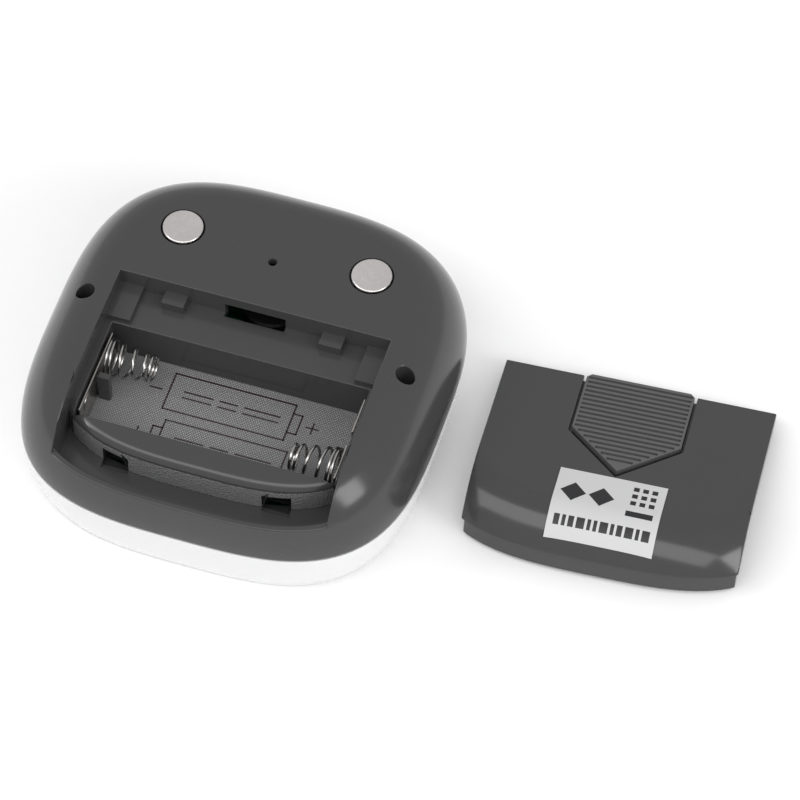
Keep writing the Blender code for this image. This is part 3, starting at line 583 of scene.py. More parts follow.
def rearHeight(x, y):
    # Height of the back's outer surface over a point
    power = case["power"]
    outline = (abs(x) ** power + abs(y) ** power) ** (1 / power)
    inset = min(case["rearRound"], case["halfX"] - outline)
    if inset >= case["rearRound"]:
        return case["top"]
    rise = (1 - (1 - inset / case["rearRound"]) ** case["rearPower"]) ** (1 / case["rearPower"])
    return case["split"] + rise * (case["top"] - case["split"])


def rearSections(wall, roof, levels, bottom):
    riseTo = case["top"] - case["split"] - roof
    sections = [(case["halfX"] - wall, case["halfY"] - wall, bottom)]
    for step in range(levels + 1):
        angle = step / levels * math.pi / 2
        z = case["split"] + riseTo * math.sin(angle) ** (2 / case["rearPower"])
        inset = wall + case["rearRound"] * (1 - math.cos(angle) ** (2 / case["rearPower"]))
        if z > bottom + 0.3 * mm:
            sections.append((case["halfX"] - inset, case["halfY"] - inset, z))
    return sections


def frontSections(wall, floor, levels, top):
    sections = []
    riseTo = case["split"] - floor
    for step in range(levels, -1, -1):
        angle = step / levels * math.pi / 2
        z = case["split"] - riseTo * math.sin(angle) ** (2 / case["frontPower"])
        inset = wall + case["frontRound"] * (1 - math.cos(angle) ** (2 / case["frontPower"]))
        if z < top - 0.3 * mm:
            sections.append((case["halfX"] - inset, case["halfY"] - inset, z))
    sections.append((case["halfX"] - wall, case["halfY"] - wall, top))
    return sections


def straightSections(inset, low, high):
    return [(case["halfX"] - inset, case["halfY"] - inset, z) for z in (low, high)]


def cellY(side):
    return bay["middleY"] + side * (bay["farY"] - bay["nearY"]) / 4


def span(side, near, far):
    return sorted((side * near, side * far))


# Rear shell

shell = {
    "soften": 0.2 * mm,
    "levels": 20,
    "cornerBlock": (4.7 * mm, 3.7 * mm, 0.5 * mm),
    "ledge": (4.6 * mm, 3.0 * mm, 3.0 * mm),
    "ledgeSpacing": 31.8 * mm,
    "catch": (12.0 * mm, 2.6 * mm, 7.6 * mm),
    "catchDeep": (0.9 * mm, 2.6 * mm),
    "divider": (2.4 * mm, 1.4 * mm, 7.0 * mm),
    "step": 0.3 * mm,
    "post": 3.2 * mm,
    "bossWall": 1.6 * mm,
    "bossDepth": 4.0 * mm,
    "slotDrop": 0.8 * mm,
    "slotInset": 0.4 * mm,
    "tailHalf": 1.3 * mm,
    "boreLift": 1.5 * mm,
    "magnetGap": 0.3 * mm,
    "screwHole": 3.7 * mm / 2,
    "shankHole": 1.15 * mm,
    "soundHole": 0.85 * mm,
    "soundY": 17.1 * mm,
}


def makeRearShell():
    top = case["top"]
    high = top + beyond
    step = shell["step"]
    piece = loft("rearShell", rearSections(0, 0, shell["levels"], case["split"] + case["seam"]))
    hollow = loft("hollow", rearSections(case["sideWall"], case["backWall"], 10, case["split"] - beyond))
    bayOuter = bay["halfX"] + bay["wall"]
    seatOuter = seat["halfX"] + bay["wall"]
    troughNear = bay["nearY"] - bay["wall"] + step
    magnetLow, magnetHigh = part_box("magnet_right")
    magnetX = (magnetLow.x + magnetHigh.x) / 2
    magnetY = (magnetLow.y + magnetHigh.y) / 2
    magnetRadius = (magnetHigh.x - magnetLow.x) / 2
    screwLow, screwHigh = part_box("case_screw_right")
    screwX = (screwLow.x + screwHigh.x) / 2
    walls = [
        block("bayTub", (-bayOuter, troughNear, bay["bottom"]),
              (bayOuter, bay["farY"] + bay["wall"] - step, high)),
        block("shelfTub", (-seatOuter, troughNear - mm, seat["shelf"] - seat["shelfWall"]),
              (seatOuter, seat["farY"] + seat["shelfWall"], high)),
        block("nearTub", (-seatOuter, -case["halfY"] - beyond, seat["groove"] - seat["grooveWall"]),
              (seatOuter, troughNear + step, high)),
    ]
    for side in (-1, 1):
        walls.append(rod("post", shell["post"], 0, high, side * screwX, 0))
        walls.append(rod("boss", magnetRadius + shell["bossWall"], top - shell["bossDepth"], high,
                         side * magnetX, magnetY))
    carve(hollow, *walls)
    carve(piece, hollow)

    opening = block("opening", (-seat["halfX"], -case["halfY"] - beyond, seat["groove"]),
                    (seat["halfX"], seat["farY"], high))
    rampX = case["halfX"] - seat["rampInset"] + seat["rampWiden"]
    rampY = case["halfY"] - seat["rampInset"]
    rampSections = [(rampX, rampY, 0.0)]
    for part in range(7):
        angle = part / 6 * math.pi / 2
        inset = seat["rampRound"] * (1 - math.cos(angle))
        rampSections.append((rampX - inset, rampY - inset,
                             seat["shelf"] - seat["rampRound"] * (1 - math.sin(angle))))
    ramp = loft("ramp", rampSections)
    lipInset = rearInset(seat["lip"]) + seat["lipWall"]
    lip = block("lip", (-seat["halfX"] - clear, -case["halfY"] - beyond - clear, 0),
                (seat["halfX"] + clear, bay["middleY"], seat["lip"]))
    carve(lip, loft("groove", straightSections(lipInset, -clear, seat["lip"] + clear)))
    carve(opening, ramp, lip)
    blockWidth, blockDepth, blockBack = shell["cornerBlock"]
    ledgeWidth, ledgeReach, ledgeDepth = shell["ledge"]
    stops = []
    for side in (-1, 1):
        lowX, highX = span(side, seat["halfX"] - blockWidth, seat["halfX"] + mm)
        stops.append(block("cornerBlock", (lowX, bay["farY"] + blockBack, seat["shelf"] - mm),
                           (highX, seat["farY"] + mm, top - blockDepth)))
        middle = side * shell["ledgeSpacing"] / 2
        stops.append(block("ledge", (middle - ledgeWidth / 2, seat["farY"] - ledgeReach, seat["shelf"] - mm),
                           (middle + ledgeWidth / 2, seat["farY"] + mm, top - ledgeDepth)))
    carve(opening, *stops)
    carve(piece, opening)

    hollowX = rampX - seat["grooveWall"]
    hollowY = rampY - seat["grooveWall"]
    rampHollow = loft("rampHollow", [(hollowX, hollowY, 0.0),
                                     (hollowX, hollowY, seat["shelf"] - seat["shelfWall"])])
    keepInside(rampHollow, block("rampLimits", (-bay["halfX"], -case["halfY"], -mm),
                                 (bay["halfX"], troughNear - 0.1 * mm, seat["shelf"])))
    trough = block("trough", (-bay["halfX"], bay["nearY"], bay["floor"]), (bay["halfX"], bay["farY"], high))
    reach, thick, tall = shell["divider"]
    carve(trough, block("divider", (-bay["halfX"] + mm, bay["middleY"] - thick / 2, bay["floor"] - mm),
                        (-bay["halfX"] + mm + reach, bay["middleY"] + thick / 2, bay["floor"] + tall)))
    catchWidth, catchTop, catchBottom = shell["catch"]
    catchNear, catchFar = shell["catchDeep"]
    cutters = [rampHollow, trough,
               block("catchSlot", (-catchWidth / 2, seat["farY"] - catchNear, top - catchBottom),
                     (catchWidth / 2, seat["farY"] + catchFar, top - catchTop)),
               rod("soundHole", shell["soundHole"], top - 3 * mm, high, 0, shell["soundY"])]
    for side in (-1, 1):
        middle = side * seat["slotSpacing"] / 2
        cutters.append(block("toeSlot", (middle - seat["slotWidth"] / 2, -rampY,
                                         seat["groove"] - shell["slotDrop"]),
                             (middle + seat["slotWidth"] / 2, troughNear - shell["slotInset"],
                              seat["groove"] + seat["slotHeight"])))
        cutters.append(block("tailSlot", (bay["halfX"] - mm, cellY(side) - shell["tailHalf"],
                                          bay["bottom"] - mm),
                             (bay["halfX"], cellY(side) + shell["tailHalf"], bay["floor"] + mm)))
        cutters.append(rod("magnetPocket", magnetRadius + shell["magnetGap"],
                           magnetLow.z - shell["magnetGap"], high, side * magnetX, magnetY, 96))
        cutters.append(rod("screwBore", shell["screwHole"], screwHigh.z - shell["boreLift"], high,
                           side * screwX, 0))
        cutters.append(rod("shankBore", shell["shankHole"], 0, high, side * screwX, 0, 32))
    carve(piece, *cutters)
    softenEdges(piece, shell["soften"])
    smooth(piece)
    return place(piece, darkShell, "body", ["rear_shell"])


makeRearShell()
print("rear shell ready")


# Front housing

frontFace = {
    "soften": 0.12 * mm,
    "window": (42.0 * mm, 21.0 * mm, 15.0 * mm),
    "lensRim": 2.0 * mm,
    "lensDepth": 1.2 * mm,
    "buttonHole": 4.8 * mm,
    "buttonSpacing": 18.0 * mm,
    "buttonY": -20.0 * mm,
    "skin": 2.8 * mm,
    "rimBelow": (2.5 * mm, 0.3 * mm, 0.2 * mm),
    "rimAbove": 1.2 * mm,
    "rimWall": 1.2 * mm,
    "pilot": (1.15 * mm, 5.5 * mm),
}


def makeFrontHousing():
    top = case["split"]
    piece = loft("frontHousing", frontSections(0, 0, 14, top))
    hollow = loft("frontHollow", frontSections(case["sideWall"], case["frontWall"], 8, top + clear))
    screwLow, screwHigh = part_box("case_screw_right")
    screwX = (screwLow.x + screwHigh.x) / 2
    carve(hollow, *[rod("casePost", shell["post"], 0, top, side * screwX, 0) for side in (-1, 1)])
    carve(piece, hollow)
    # The rim that the rear shell slides over
    inset = case["sideWall"] + case["seam"]
    outer = case["sideWall"] / 2
    root, neck, throat = frontFace["rimBelow"]
    levels = [(outer, top - root), (outer, top - neck), (inset, top - throat),
              (inset, top + frontFace["rimAbove"])]
    rim = loft("rim", [(case["halfX"] - edge, case["halfY"] - edge, z) for edge, z in levels])
    carve(rim, loft("rimHollow", straightSections(inset + frontFace["rimWall"], 0, beyond)))
    weld(piece, rim)
    width, length, middleY = frontFace["window"]
    rimX = width / 2 + frontFace["lensRim"]
    rimY = length / 2 + frontFace["lensRim"]
    skin = frontFace["skin"]
    cutters = [block("windowHole", (-width / 2, middleY - length / 2, -clear),
                     (width / 2, middleY + length / 2, skin)),
               block("lensSeat", (-rimX, middleY - rimY, -clear),
                     (rimX, middleY + rimY, frontFace["lensDepth"]))]
    for number in (-1, 0, 1):
        cutters.append(rod("buttonHole", frontFace["buttonHole"], -clear, skin,
                           number * frontFace["buttonSpacing"], frontFace["buttonY"], 64))
    pilotRadius, pilotBottom = frontFace["pilot"]
    for side in (-1, 1):
        cutters.append(rod("pilot", pilotRadius, pilotBottom, top + clear, side * screwX, 0, 24))
    carve(piece, *cutters)
    softenEdges(piece, frontFace["soften"])
    smooth(piece)
    return place(piece, whiteGloss, "body", ["front_housing"])


makeFrontHousing()
print("front housing ready")


# Display window, its printed border, and the display's segments

display = {
    "lensRound": 0.25 * mm,
    "digitHeight": 12.5 * mm,
    "digitWidth": 6.6 * mm,
    "stroke": 1.25 * mm,
    "digitSpacing": 9.2 * mm,
    "colonGap": 1.6 * mm,
    "segmentProud": 0.03 * mm,
    "mitre": 0.6,
    "clear": 0.005 * mm,
    "colon": (0.8 * mm, 2.6 * mm),
    "borderInset": 0.3 * mm,
    "borderDepths": (0.02 * mm, 0.08 * mm),
    "borderHole": mm,
}


def makeDisplay():
    low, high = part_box("display_window")
    lens = smooth(block("lensPlate", low, high, display["lensRound"]))
    place(lens, lensClear, "body", ["display_window"])

    # A printed border on the lens's inner face
    width, length, middleY = frontFace["window"]
    inset, hole = display["borderInset"], display["borderHole"]
    near, far = display["borderDepths"]
    outer = block("printedBorder", (low.x + inset, low.y + inset, high.z + near),
                  (high.x - inset, high.y - inset, high.z + far))
    carve(outer, block("borderHole", (-width / 2 + hole, middleY - length / 2 + hole, 0),
                       (width / 2 - hole, middleY + length / 2 - hole, beyond)))
    place(smooth(outer), blackPart, "body")

    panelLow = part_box("lcd_panel")[0]
    face = panelLow.z - display["segmentProud"]
    halfWidth = display["digitWidth"] / 2
    halfHeight = display["digitHeight"] / 2
    stroke = display["stroke"]
    mitre = stroke * display["mitre"]
    back = panelLow.z - display["clear"]
    bars = {
        "top": ((-halfWidth + mitre, halfHeight - stroke), (halfWidth - mitre, halfHeight)),
        "middle": ((-halfWidth + mitre, -stroke / 2), (halfWidth - mitre, stroke / 2)),
        "bottom": ((-halfWidth + mitre, -halfHeight),
                   (halfWidth - mitre, -halfHeight + stroke)),
        "upperLeft": ((-halfWidth, mitre), (-halfWidth + stroke, halfHeight - mitre)),
        "upperRight": ((halfWidth - stroke, mitre), (halfWidth, halfHeight - mitre)),
        "lowerLeft": ((-halfWidth, -halfHeight + mitre), (-halfWidth + stroke, -mitre)),
        "lowerRight": ((halfWidth - stroke, -halfHeight + mitre), (halfWidth, -mitre)),
    }
    zero = [name for name in bars if name != "middle"]
    made = []
    for digit in range(4):
        # Seen from the front, X runs the other way
        middleX = -(digit - 1.5) * display["digitSpacing"] + (display["colonGap"] if digit < 2 else
                                                              -display["colonGap"])
        for name in zero:
            (lowX, lowY), (highX, highY) = bars[name]
            made.append(block("bar", (middleX + lowX, middleY + lowY, face),
                              (middleX + highX, middleY + highY, back), 0.01 * mm, 1))
    dot, apart = display["colon"]
    for side in (-1, 1):
        made.append(rod("colon", dot, face, back, 0, middleY + side * apart, 24))
    place(smooth(joinPieces("displaySegments", made)), lcdInk, "body")


makeDisplay()


# Buttons

button = {
    "cap": 4.5 * mm,
    "flange": 5.6 * mm,
    "flangeTall": 0.9 * mm,
    "gap": 0.3 * mm,
    "stem": 2.0 * mm,
    "edge": 0.5 * mm,
    "dish": 0.35 * mm,
}


def makeButtons():
    for name in ("left", "middle", "right"):
        low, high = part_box(f"button_{name}")
        x = (low.x + high.x) / 2
        y = (low.y + high.y) / 2
        flangeLow = case["frontWall"] + button["gap"]
        flangeHigh = flangeLow + button["flangeTall"]
        profile = [(0, high.z), (button["stem"], high.z), (button["stem"], flangeHigh),
                   (button["flange"], flangeHigh), (button["flange"], flangeLow), (button["cap"], flangeLow)]
        for step in range(7):
            angle = step / 6 * math.pi / 2
            profile.append((button["cap"] - button["edge"] * (1 - math.cos(angle)),
                            low.z + button["edge"] * (1 - math.sin(angle))))
        for step in range(1, 9):
            part = 1 - step / 8
            radius = (button["cap"] - button["edge"]) * part
            profile.append((radius, low.z + button["dish"] * (1 - part ** 2)))
        cap = lathe(f"buttonCap_{name}", profile, x, y, 72)
        place(smooth(cap, 50), whiteGloss, f"{name}_button", [f"button_{name}"])


makeButtons()
print("front ready")


# Magnets and screws

magnet = {"edge": 0.35 * mm, "steps": 96}


def makeMagnets():
    for name in ("left", "right"):
        low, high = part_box(f"magnet_{name}")
        radius = (high.x - low.x) / 2
        profile = [(0, high.z)]
        for step in range(1, 8):
            profile.append((radius * step / 8 * 0.95, high.z))
        for step in range(6):
            angle = step / 5 * math.pi / 2
            profile.append((radius - magnet["edge"] * (1 - math.sin(angle)),
                            high.z - magnet["edge"] * (1 - math.cos(angle))))
        profile += [(radius, low.z), (0, low.z)]
        disc = lathe(f"magnetDisc_{name}", profile, (low.x + high.x) / 2, (low.y + high.y) / 2,
                     magnet["steps"])
        place(smooth(disc, 60), nickel, "body", [f"magnet_{name}"])


def makeScrew(node, headRadius, body="body"):
    low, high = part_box(node)
    x = (low.x + high.x) / 2
    y = (low.y + high.y) / 2
    headBase = high.z - 1.3 * mm
    profile = [(0, high.z)]
    for step in range(1, 6):
        angle = step / 5 * math.pi / 2
        profile.append((headRadius * math.sin(angle), headBase + 0.5 * mm + 0.8 * mm * math.cos(angle)))
    profile += [(headRadius, headBase), (0.85 * mm, headBase)]
    turns = 8
    for step in range(turns):
        z = headBase - (step + 0.5) * (headBase - low.z - mm) / turns
        profile += [(0.85 * mm, z + 0.3 * mm), (0.6 * mm, z)]
    profile += [(0.5 * mm, low.z + 0.8 * mm), (0, low.z)]
    screw = lathe(f"{node}_turned", profile, x, y, 32)
    carve(screw, block("slotA", (x - 0.95 * mm, y - 0.22 * mm, high.z - 0.8 * mm),
                       (x + 0.95 * mm, y + 0.22 * mm, high.z + mm)),
          block("slotB", (x - 0.22 * mm, y - 0.95 * mm, high.z - 0.81 * mm),
                (x + 0.22 * mm, y + 0.95 * mm, high.z + mm)))
    place(smooth(screw, 40), screwSteel, body, [node])


makeMagnets()
makeScrew("case_screw_left", 1.55 * mm)
makeScrew("case_screw_right", 1.55 * mm)
for number in range(1, 5):
    makeScrew(f"board_screw_{number}", 1.8 * mm)
print("magnets and screws ready")


# Contacts in the bay

spring = {
    "wire": 0.6 * mm,
    "base": 3.8 * mm,
    "tip": 2.5 * mm,
    "turns": 6.0,
    "perTurn": 28,
    "wide": 0.18,  # share of the coil at its full radius
    "taper": 0.6,
    "bunch": 0.125,
}


def makeSpring(node, side, name):
    low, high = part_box(node)
    y = cellY(1 if node.endswith("left") else -1)
    z = bay["floor"] + bay["cellRadius"]
    wire = spring["wire"] / 2
    baseX = (low.x if side < 0 else high.x) - side * wire
    length = high.x - low.x - 2 * wire
    curve = bpy.data.curves.new(name, "CURVE")
    curve.dimensions = "3D"
    curve.bevel_depth = wire
    curve.bevel_resolution = 5
    curve.use_fill_caps = True
    path = curve.splines.new("POLY")
    count = int(spring["turns"] * spring["perTurn"])
    path.points.add(count)
    for step in range(count + 1):
        part = step / count
        angle = 2 * math.pi * step / spring["perTurn"]
        narrow = min(1.0, max(0.0, (part - spring["wide"]) / spring["taper"]))
        radius = spring["base"] + (spring["tip"] - spring["base"]) * narrow
        # Closed at both ends, open in the middle
        along = length * (part - spring["bunch"] * math.sin(2 * math.pi * part))
        path.points[step].co = (baseX - side * along, y + radius * math.cos(angle),
                                z + radius * math.sin(angle), 1)
    coil = bpy.data.objects.new(name, curve)
    bpy.context.scene.collection.objects.link(coil)
    shape = bpy.data.meshes.new_from_object(coil.evaluated_get(bpy.context.evaluated_depsgraph_get()))
    bpy.data.objects.remove(coil, do_unlink=True)
    build = bmesh.new()
    build.from_mesh(shape)
    bmesh.ops.remove_doubles(build, verts=build.verts[:], dist=0.001 * mm)
    coil = newObject(name, build)
    place(smooth(coil, 60), springSteel, "body", [node])


plate = {"lift": 0.3 * mm, "edge": 0.12 * mm, "tailEdge": 0.1 * mm, "dimpleSunk": 0.05 * mm}


def makePlate(node, name, dimples):
    # A thin plate with pressed dimples towards the cells
    low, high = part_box(node)
    side = 1 if low.x > 0 else -1
    plateLow = bay["floor"] + plate["lift"]
    piece = block(name, (low.x, low.y, plateLow), (high.x, high.y, high.z), plate["edge"], 2)
    inner = low.x if side > 0 else high.x
    extras = []
    for y, radius, reach in dimples:
        bump = bmesh.new()
        bmesh.ops.create_uvsphere(bump, u_segments=32, v_segments=16, radius=radius)
        dome = newObject("dimple", bump)
        middle = Vector((inner + side * plate["dimpleSunk"], y, bay["floor"] + bay["cellRadius"]))
        dome.data.transform(Matrix.LocRotScale(middle, None, Vector((reach / radius, 1, 1))))
        extras.append(dome)
    if low.z < bay["floor"] - mm:
        middleY = (low.y + high.y) / 2
        extras.append(block("tail", (low.x, middleY - mm, low.z), (high.x, middleY + mm, plateLow + mm),
                            plate["tailEdge"], 2))
    weld(piece, *extras)
    return place(smooth(piece, 35), plateMetal, "body", [node])


makeSpring("cell_spring_left", -1, "springFar")
makeSpring("cell_spring_right", 1, "springNear")
makePlate("link_plate", "linkPlate", [(cellY(-1), 2.0 * mm, 0.5 * mm)])
makePlate("positive_plate", "positivePlate", [(cellY(1), 2.2 * mm, 0.5 * mm)])
makePlate("negative_plate", "negativePlate", [(cellY(-1), 1.0 * mm, 0.2 * mm)])
print("contacts ready")


# Moulded marks on the bay's floor

marks = {
    "line": 0.30 * mm,
    "proud": 0.06 * mm,
    "cellLength": 24.5 * mm,
    "middles": {1: (-0.38 * mm, -8.57 * mm), -1: (1.25 * mm, -19.42 * mm)},
    "half": 4.27 * mm,
    "nub": (1.87 * mm, 2.24 * mm),
    "plus": 4.5 * mm,
    "minus": 2.7 * mm,
    "arm": 1.15 * mm,
    "bar": 0.7 * mm,
    "bars": ((3.0 * mm, 5.6 * mm), (10.2 * mm, 3.4 * mm), (15.2 * mm, 7.0 * mm)),
    "sunk": 0.02 * mm,
}


def flatLine(start, end, z, width, height):
    start = Vector((*start, 0))
    end = Vector((*end, 0))
    along = (end - start).normalized()
    across = Vector((-along.y, along.x, 0)) * width / 2
    reach = along * width / 2
    corners = [start - reach - across, end + reach - across, end + reach + across, start - reach + across]
    return prism("stroke", [(point.x, point.y) for point in corners], z, z + height)


def makeBayMarks():
    z = bay["floor"] - marks["sunk"]
    tall = marks["proud"] + marks["sunk"]
    line = marks["line"]
    strokes = []
    for side in (1, -1):
        middle, y = marks["middles"][side]
        left = middle - marks["cellLength"] / 2
        right = middle + marks["cellLength"] / 2
        half = marks["half"]
        strokes += [((left, y + half), (right, y + half)), ((left, y - half), (right, y - half)),
                    ((left, y - half), (left, y + half)), ((right, y - half), (right, y + half))]
        end = right if side > 0 else left
        out = 1 if side > 0 else -1
        nubLong, nubHalf = marks["nub"]
        strokes += [((end, y + nubHalf), (end + out * nubLong, y + nubHalf)),
                    ((end, y - nubHalf), (end + out * nubLong, y - nubHalf)),
                    ((end + out * nubLong, y - nubHalf), (end + out * nubLong, y + nubHalf))]
        arm = marks["arm"]
        plus = end + out * marks["plus"]
        strokes += [((plus - arm, y), (plus + arm, y)), ((plus, y - arm), (plus, y + arm))]
        minus = middle - out * (marks["cellLength"] / 2 + marks["minus"])
        strokes.append(((minus - arm, y), (minus + arm, y)))
        # Plain bars inside each outline, in place of words
        for start, length in marks["bars"]:
            first = left + start
            last = first + length
            strokes += [((first, y + row), (last, y + row)) for row in (marks["bar"], -marks["bar"])]
    pieces = [flatLine(start, end, z, line, tall) for start, end in strokes]
    place(smooth(joinPieces("bayMarks", pieces)), bayInk, "body")


makeBayMarks()
print("bay marks ready")


# The loose door: built where it closes, then laid down

door = {
    "turn": 3.9,
    "gap": 0.3 * mm,
    "farGap": 0.8 * mm,
    "beside": 5.0 * mm,
    "farInset": 12.6 * mm,
    "wall": 1.8 * mm,
    "flange": 1.6 * mm,
    "flangeDepth": 2.7 * mm,
    "tongueWall": 1.5 * mm,
    "tongueEndGap": 0.4 * mm,
    "tongueOverlap": 2.2 * mm,
    "toe": (2.4 * mm, 2.2 * mm, 0.4 * mm),
    "soften": 0.22 * mm,
    "clear": 0.05 * mm,
    "borderInset": 6 * mm,
    "floorMargin": 2.8 * mm,
    "floorThick": 1.0 * mm,
    "lug": 2.5 * mm,
    "lugGap": 0.2 * mm,
    "toeInset": 0.3 * mm,
    "ledgeGap": 1.5 * mm,
    "ledgeTrim": 0.01 * mm,
    "pointSpare": 0.1 * mm,
}
pad = {
    "half": 10.8 * mm,
    "straight": 15.7 * mm,
    "point": 9.9 * mm,
    "thick": 1.4 * mm,
    "proud": 0.2 * mm,
    "sideGap": 0.5 * mm,
    "travel": 1.2 * mm,
    "depth": 3.8 * mm,
    "strip": 0.8 * mm,
    "stripLength": 3.6 * mm,
    "arm": 1.1 * mm,
    "armHalf": 6.0 * mm,
    "hookHalf": 4.6 * mm,
    "hookRise": 0.1 * mm,
    "hookTall": 0.9 * mm,
    "hookReach": 1.1 * mm,
    "ribPitch": 1.27 * mm,
    "ribDepth": 0.5 * mm,
    "margin": 0.45 * mm,
    "chamfer": 0.9 * mm,
    "soften": 0.12 * mm,
    "ribStart": 2.2 * mm,
    "slant": 1.35,
    "ribShare": 0.25,
    "leastRib": 0.5 * mm,
    "armTrim": 0.01 * mm,
    "armOverlap": 0.3 * mm,
}


def tongueInset():
    return rearInset(seat["lip"]) + seat["lipWall"] + door["gap"]


def doorMatrix():
    hookTip = Vector((0, seat["farY"] + pad["hookReach"], case["top"] - pad["depth"] + pad["hookRise"]))
    tongueX = seat["halfX"] - door["gap"] - door["tongueEndGap"]
    inner = case["halfX"] - tongueInset() - door["tongueWall"]
    endY = -inner * (1 - (tongueX / inner) ** case["power"]) ** (1 / case["power"])
    tongueZ = seat["groove"] + door["gap"]
    toeY = seat["rampInset"] - case["halfY"] + door["toe"][1]
    supports = [Vector((0, endY, tongueZ)), Vector((0, toeY, tongueZ + door["gap"]))]
    lean = max(math.atan2(hookTip.z - point.z, hookTip.y - point.y) for point in supports)
    tilt = Euler((-lean, 0, 0)).to_matrix()
    turn = Euler((0, 0, math.radians(door["turn"]))).to_matrix() @ tilt
    pivot = Vector((0, seat["farY"] - door["farGap"], case["top"]))
    lowest = min((tilt @ (point - pivot)).z for point in (hookTip, *supports))
    spot = Vector((case["halfX"] + seat["halfX"] + door["beside"], case["halfY"] - door["farInset"],
                   door["clear"] - lowest))
    return Matrix.LocRotScale(spot - turn @ pivot, turn, None)


def padOutline(sideGap, farY, pointGap, cut=0.0):
    straightY = seat["farY"] - door["gap"] - pad["straight"]
    slope = math.hypot(pad["half"], pad["point"])
    half = pad["half"] + sideGap
    tip = straightY - pad["point"] - pointGap * slope / pad["half"]
    shoulder = tip + half * pad["point"] / pad["half"]
    if cut:
        return [(-half + cut, farY), (-half, farY - cut), (-half, shoulder), (0, tip), (half, shoulder),
                (half, farY - cut), (half - cut, farY)]
    return [(-half, farY), (-half, shoulder), (0, tip), (half, shoulder), (half, farY)]


def makeDoor(rest):
    top = case["top"]
    piece = loft("batteryDoor", rearSections(0, 0, 24, case["split"] + case["seam"]))
    farY = seat["farY"] - door["farGap"]
    half = seat["halfX"] - door["gap"]
    keepInside(piece, block("doorLimits", (-half, -case["halfY"] - beyond, seat["lip"] + door["gap"]),
                            (half, farY, top + beyond)))
    inner = loft("doorInner", rearSections(door["wall"], door["wall"], 12, case["split"] - clear))
    borderNear = bay["nearY"] + door["borderInset"]
    border = block("doorBorder", (-half - clear, borderNear, top - door["flangeDepth"]),
                   (half + clear, farY + clear, top))
    carve(border, block("doorFlange", (-half + door["flange"], borderNear - mm, 0),
                        (half - door["flange"], farY - door["flange"], top)))
    carve(inner, border)
    carve(piece, inner)
    carve(piece, block("borderTrim", (-half - clear, borderNear, 0),
                       (half + clear, farY + clear, top - door["flangeDepth"])))
    inset = tongueInset()
    lowZ = seat["groove"] + door["gap"]
    tongue = loft("tongue", straightSections(inset, lowZ, seat["lip"] + door["tongueOverlap"]))
    carve(tongue, loft("tongueHollow", straightSections(inset + door["tongueWall"], 0, beyond)))
    tongueHalf = half - door["tongueEndGap"]
    keepInside(tongue, block("tongueLimits", (-tongueHalf, -case["halfY"], 0),
                             (tongueHalf, bay["nearY"], beyond)))
    joined = [tongue]
    toeTall, toeReach, toeGap = door["toe"]
    for side in (-1, 1):
        middle = side * seat["slotSpacing"] / 2
        halfToe = seat["slotWidth"] / 2 - toeGap
        toe = block("toe", (middle - halfToe, -(case["halfY"] - inset), lowZ + door["gap"]),
                    (middle + halfToe, seat["rampInset"] - case["halfY"] + toeReach,
                     lowZ + door["gap"] + toeTall))
        keepInside(toe, loft("toeLimits", straightSections(inset + door["toeInset"], 0, beyond)))
        joined.append(toe)
    weld(piece, *joined)
    slope = math.hypot(pad["half"], pad["point"])
    pointGap = pad["travel"] * pad["half"] / slope + door["pointSpare"]
    carve(piece, prism("padPocket", padOutline(pad["sideGap"], farY + clear, pointGap), 0, top + beyond))
    floorTop = top + pad["proud"] - pad["thick"] - door["gap"]
    rootY = seat["farY"] - door["gap"] - pad["arm"] - pad["stripLength"]
    lugFar = rootY - pad["travel"] - door["gap"]
    margin, thick = door["floorMargin"], door["floorThick"]
    nearEnd = seat["farY"] - pad["straight"] - pad["point"] - margin
    floor = block("pocketFloor", (-pad["half"] - margin, nearEnd, floorTop - thick),
                  (pad["half"] + margin, lugFar, floorTop))
    lug = block("latchLug", (-pad["armHalf"], lugFar - door["lug"], top - pad["depth"] + door["lugGap"]),
                (pad["armHalf"], lugFar, floorTop - door["lugGap"]))
    # Ledges under the pad's sides, beside the latch's loop
    trim = door["ledgeTrim"]
    ledges = []
    for side in (-1, 1):
        lowX, highX = span(side, pad["armHalf"] + door["ledgeGap"], pad["half"] + margin)
        ledges.append(block("padLedge", (lowX, lugFar - mm, floorTop - thick + trim),
                            (highX, farY, floorTop - trim)))
    weld(piece, floor, lug)
    weld(piece, *ledges)
    softenEdges(piece, door["soften"])
    smooth(piece)
    piece.data.transform(rest)
    return place(piece, darkDoor, "door", ["battery_door"])


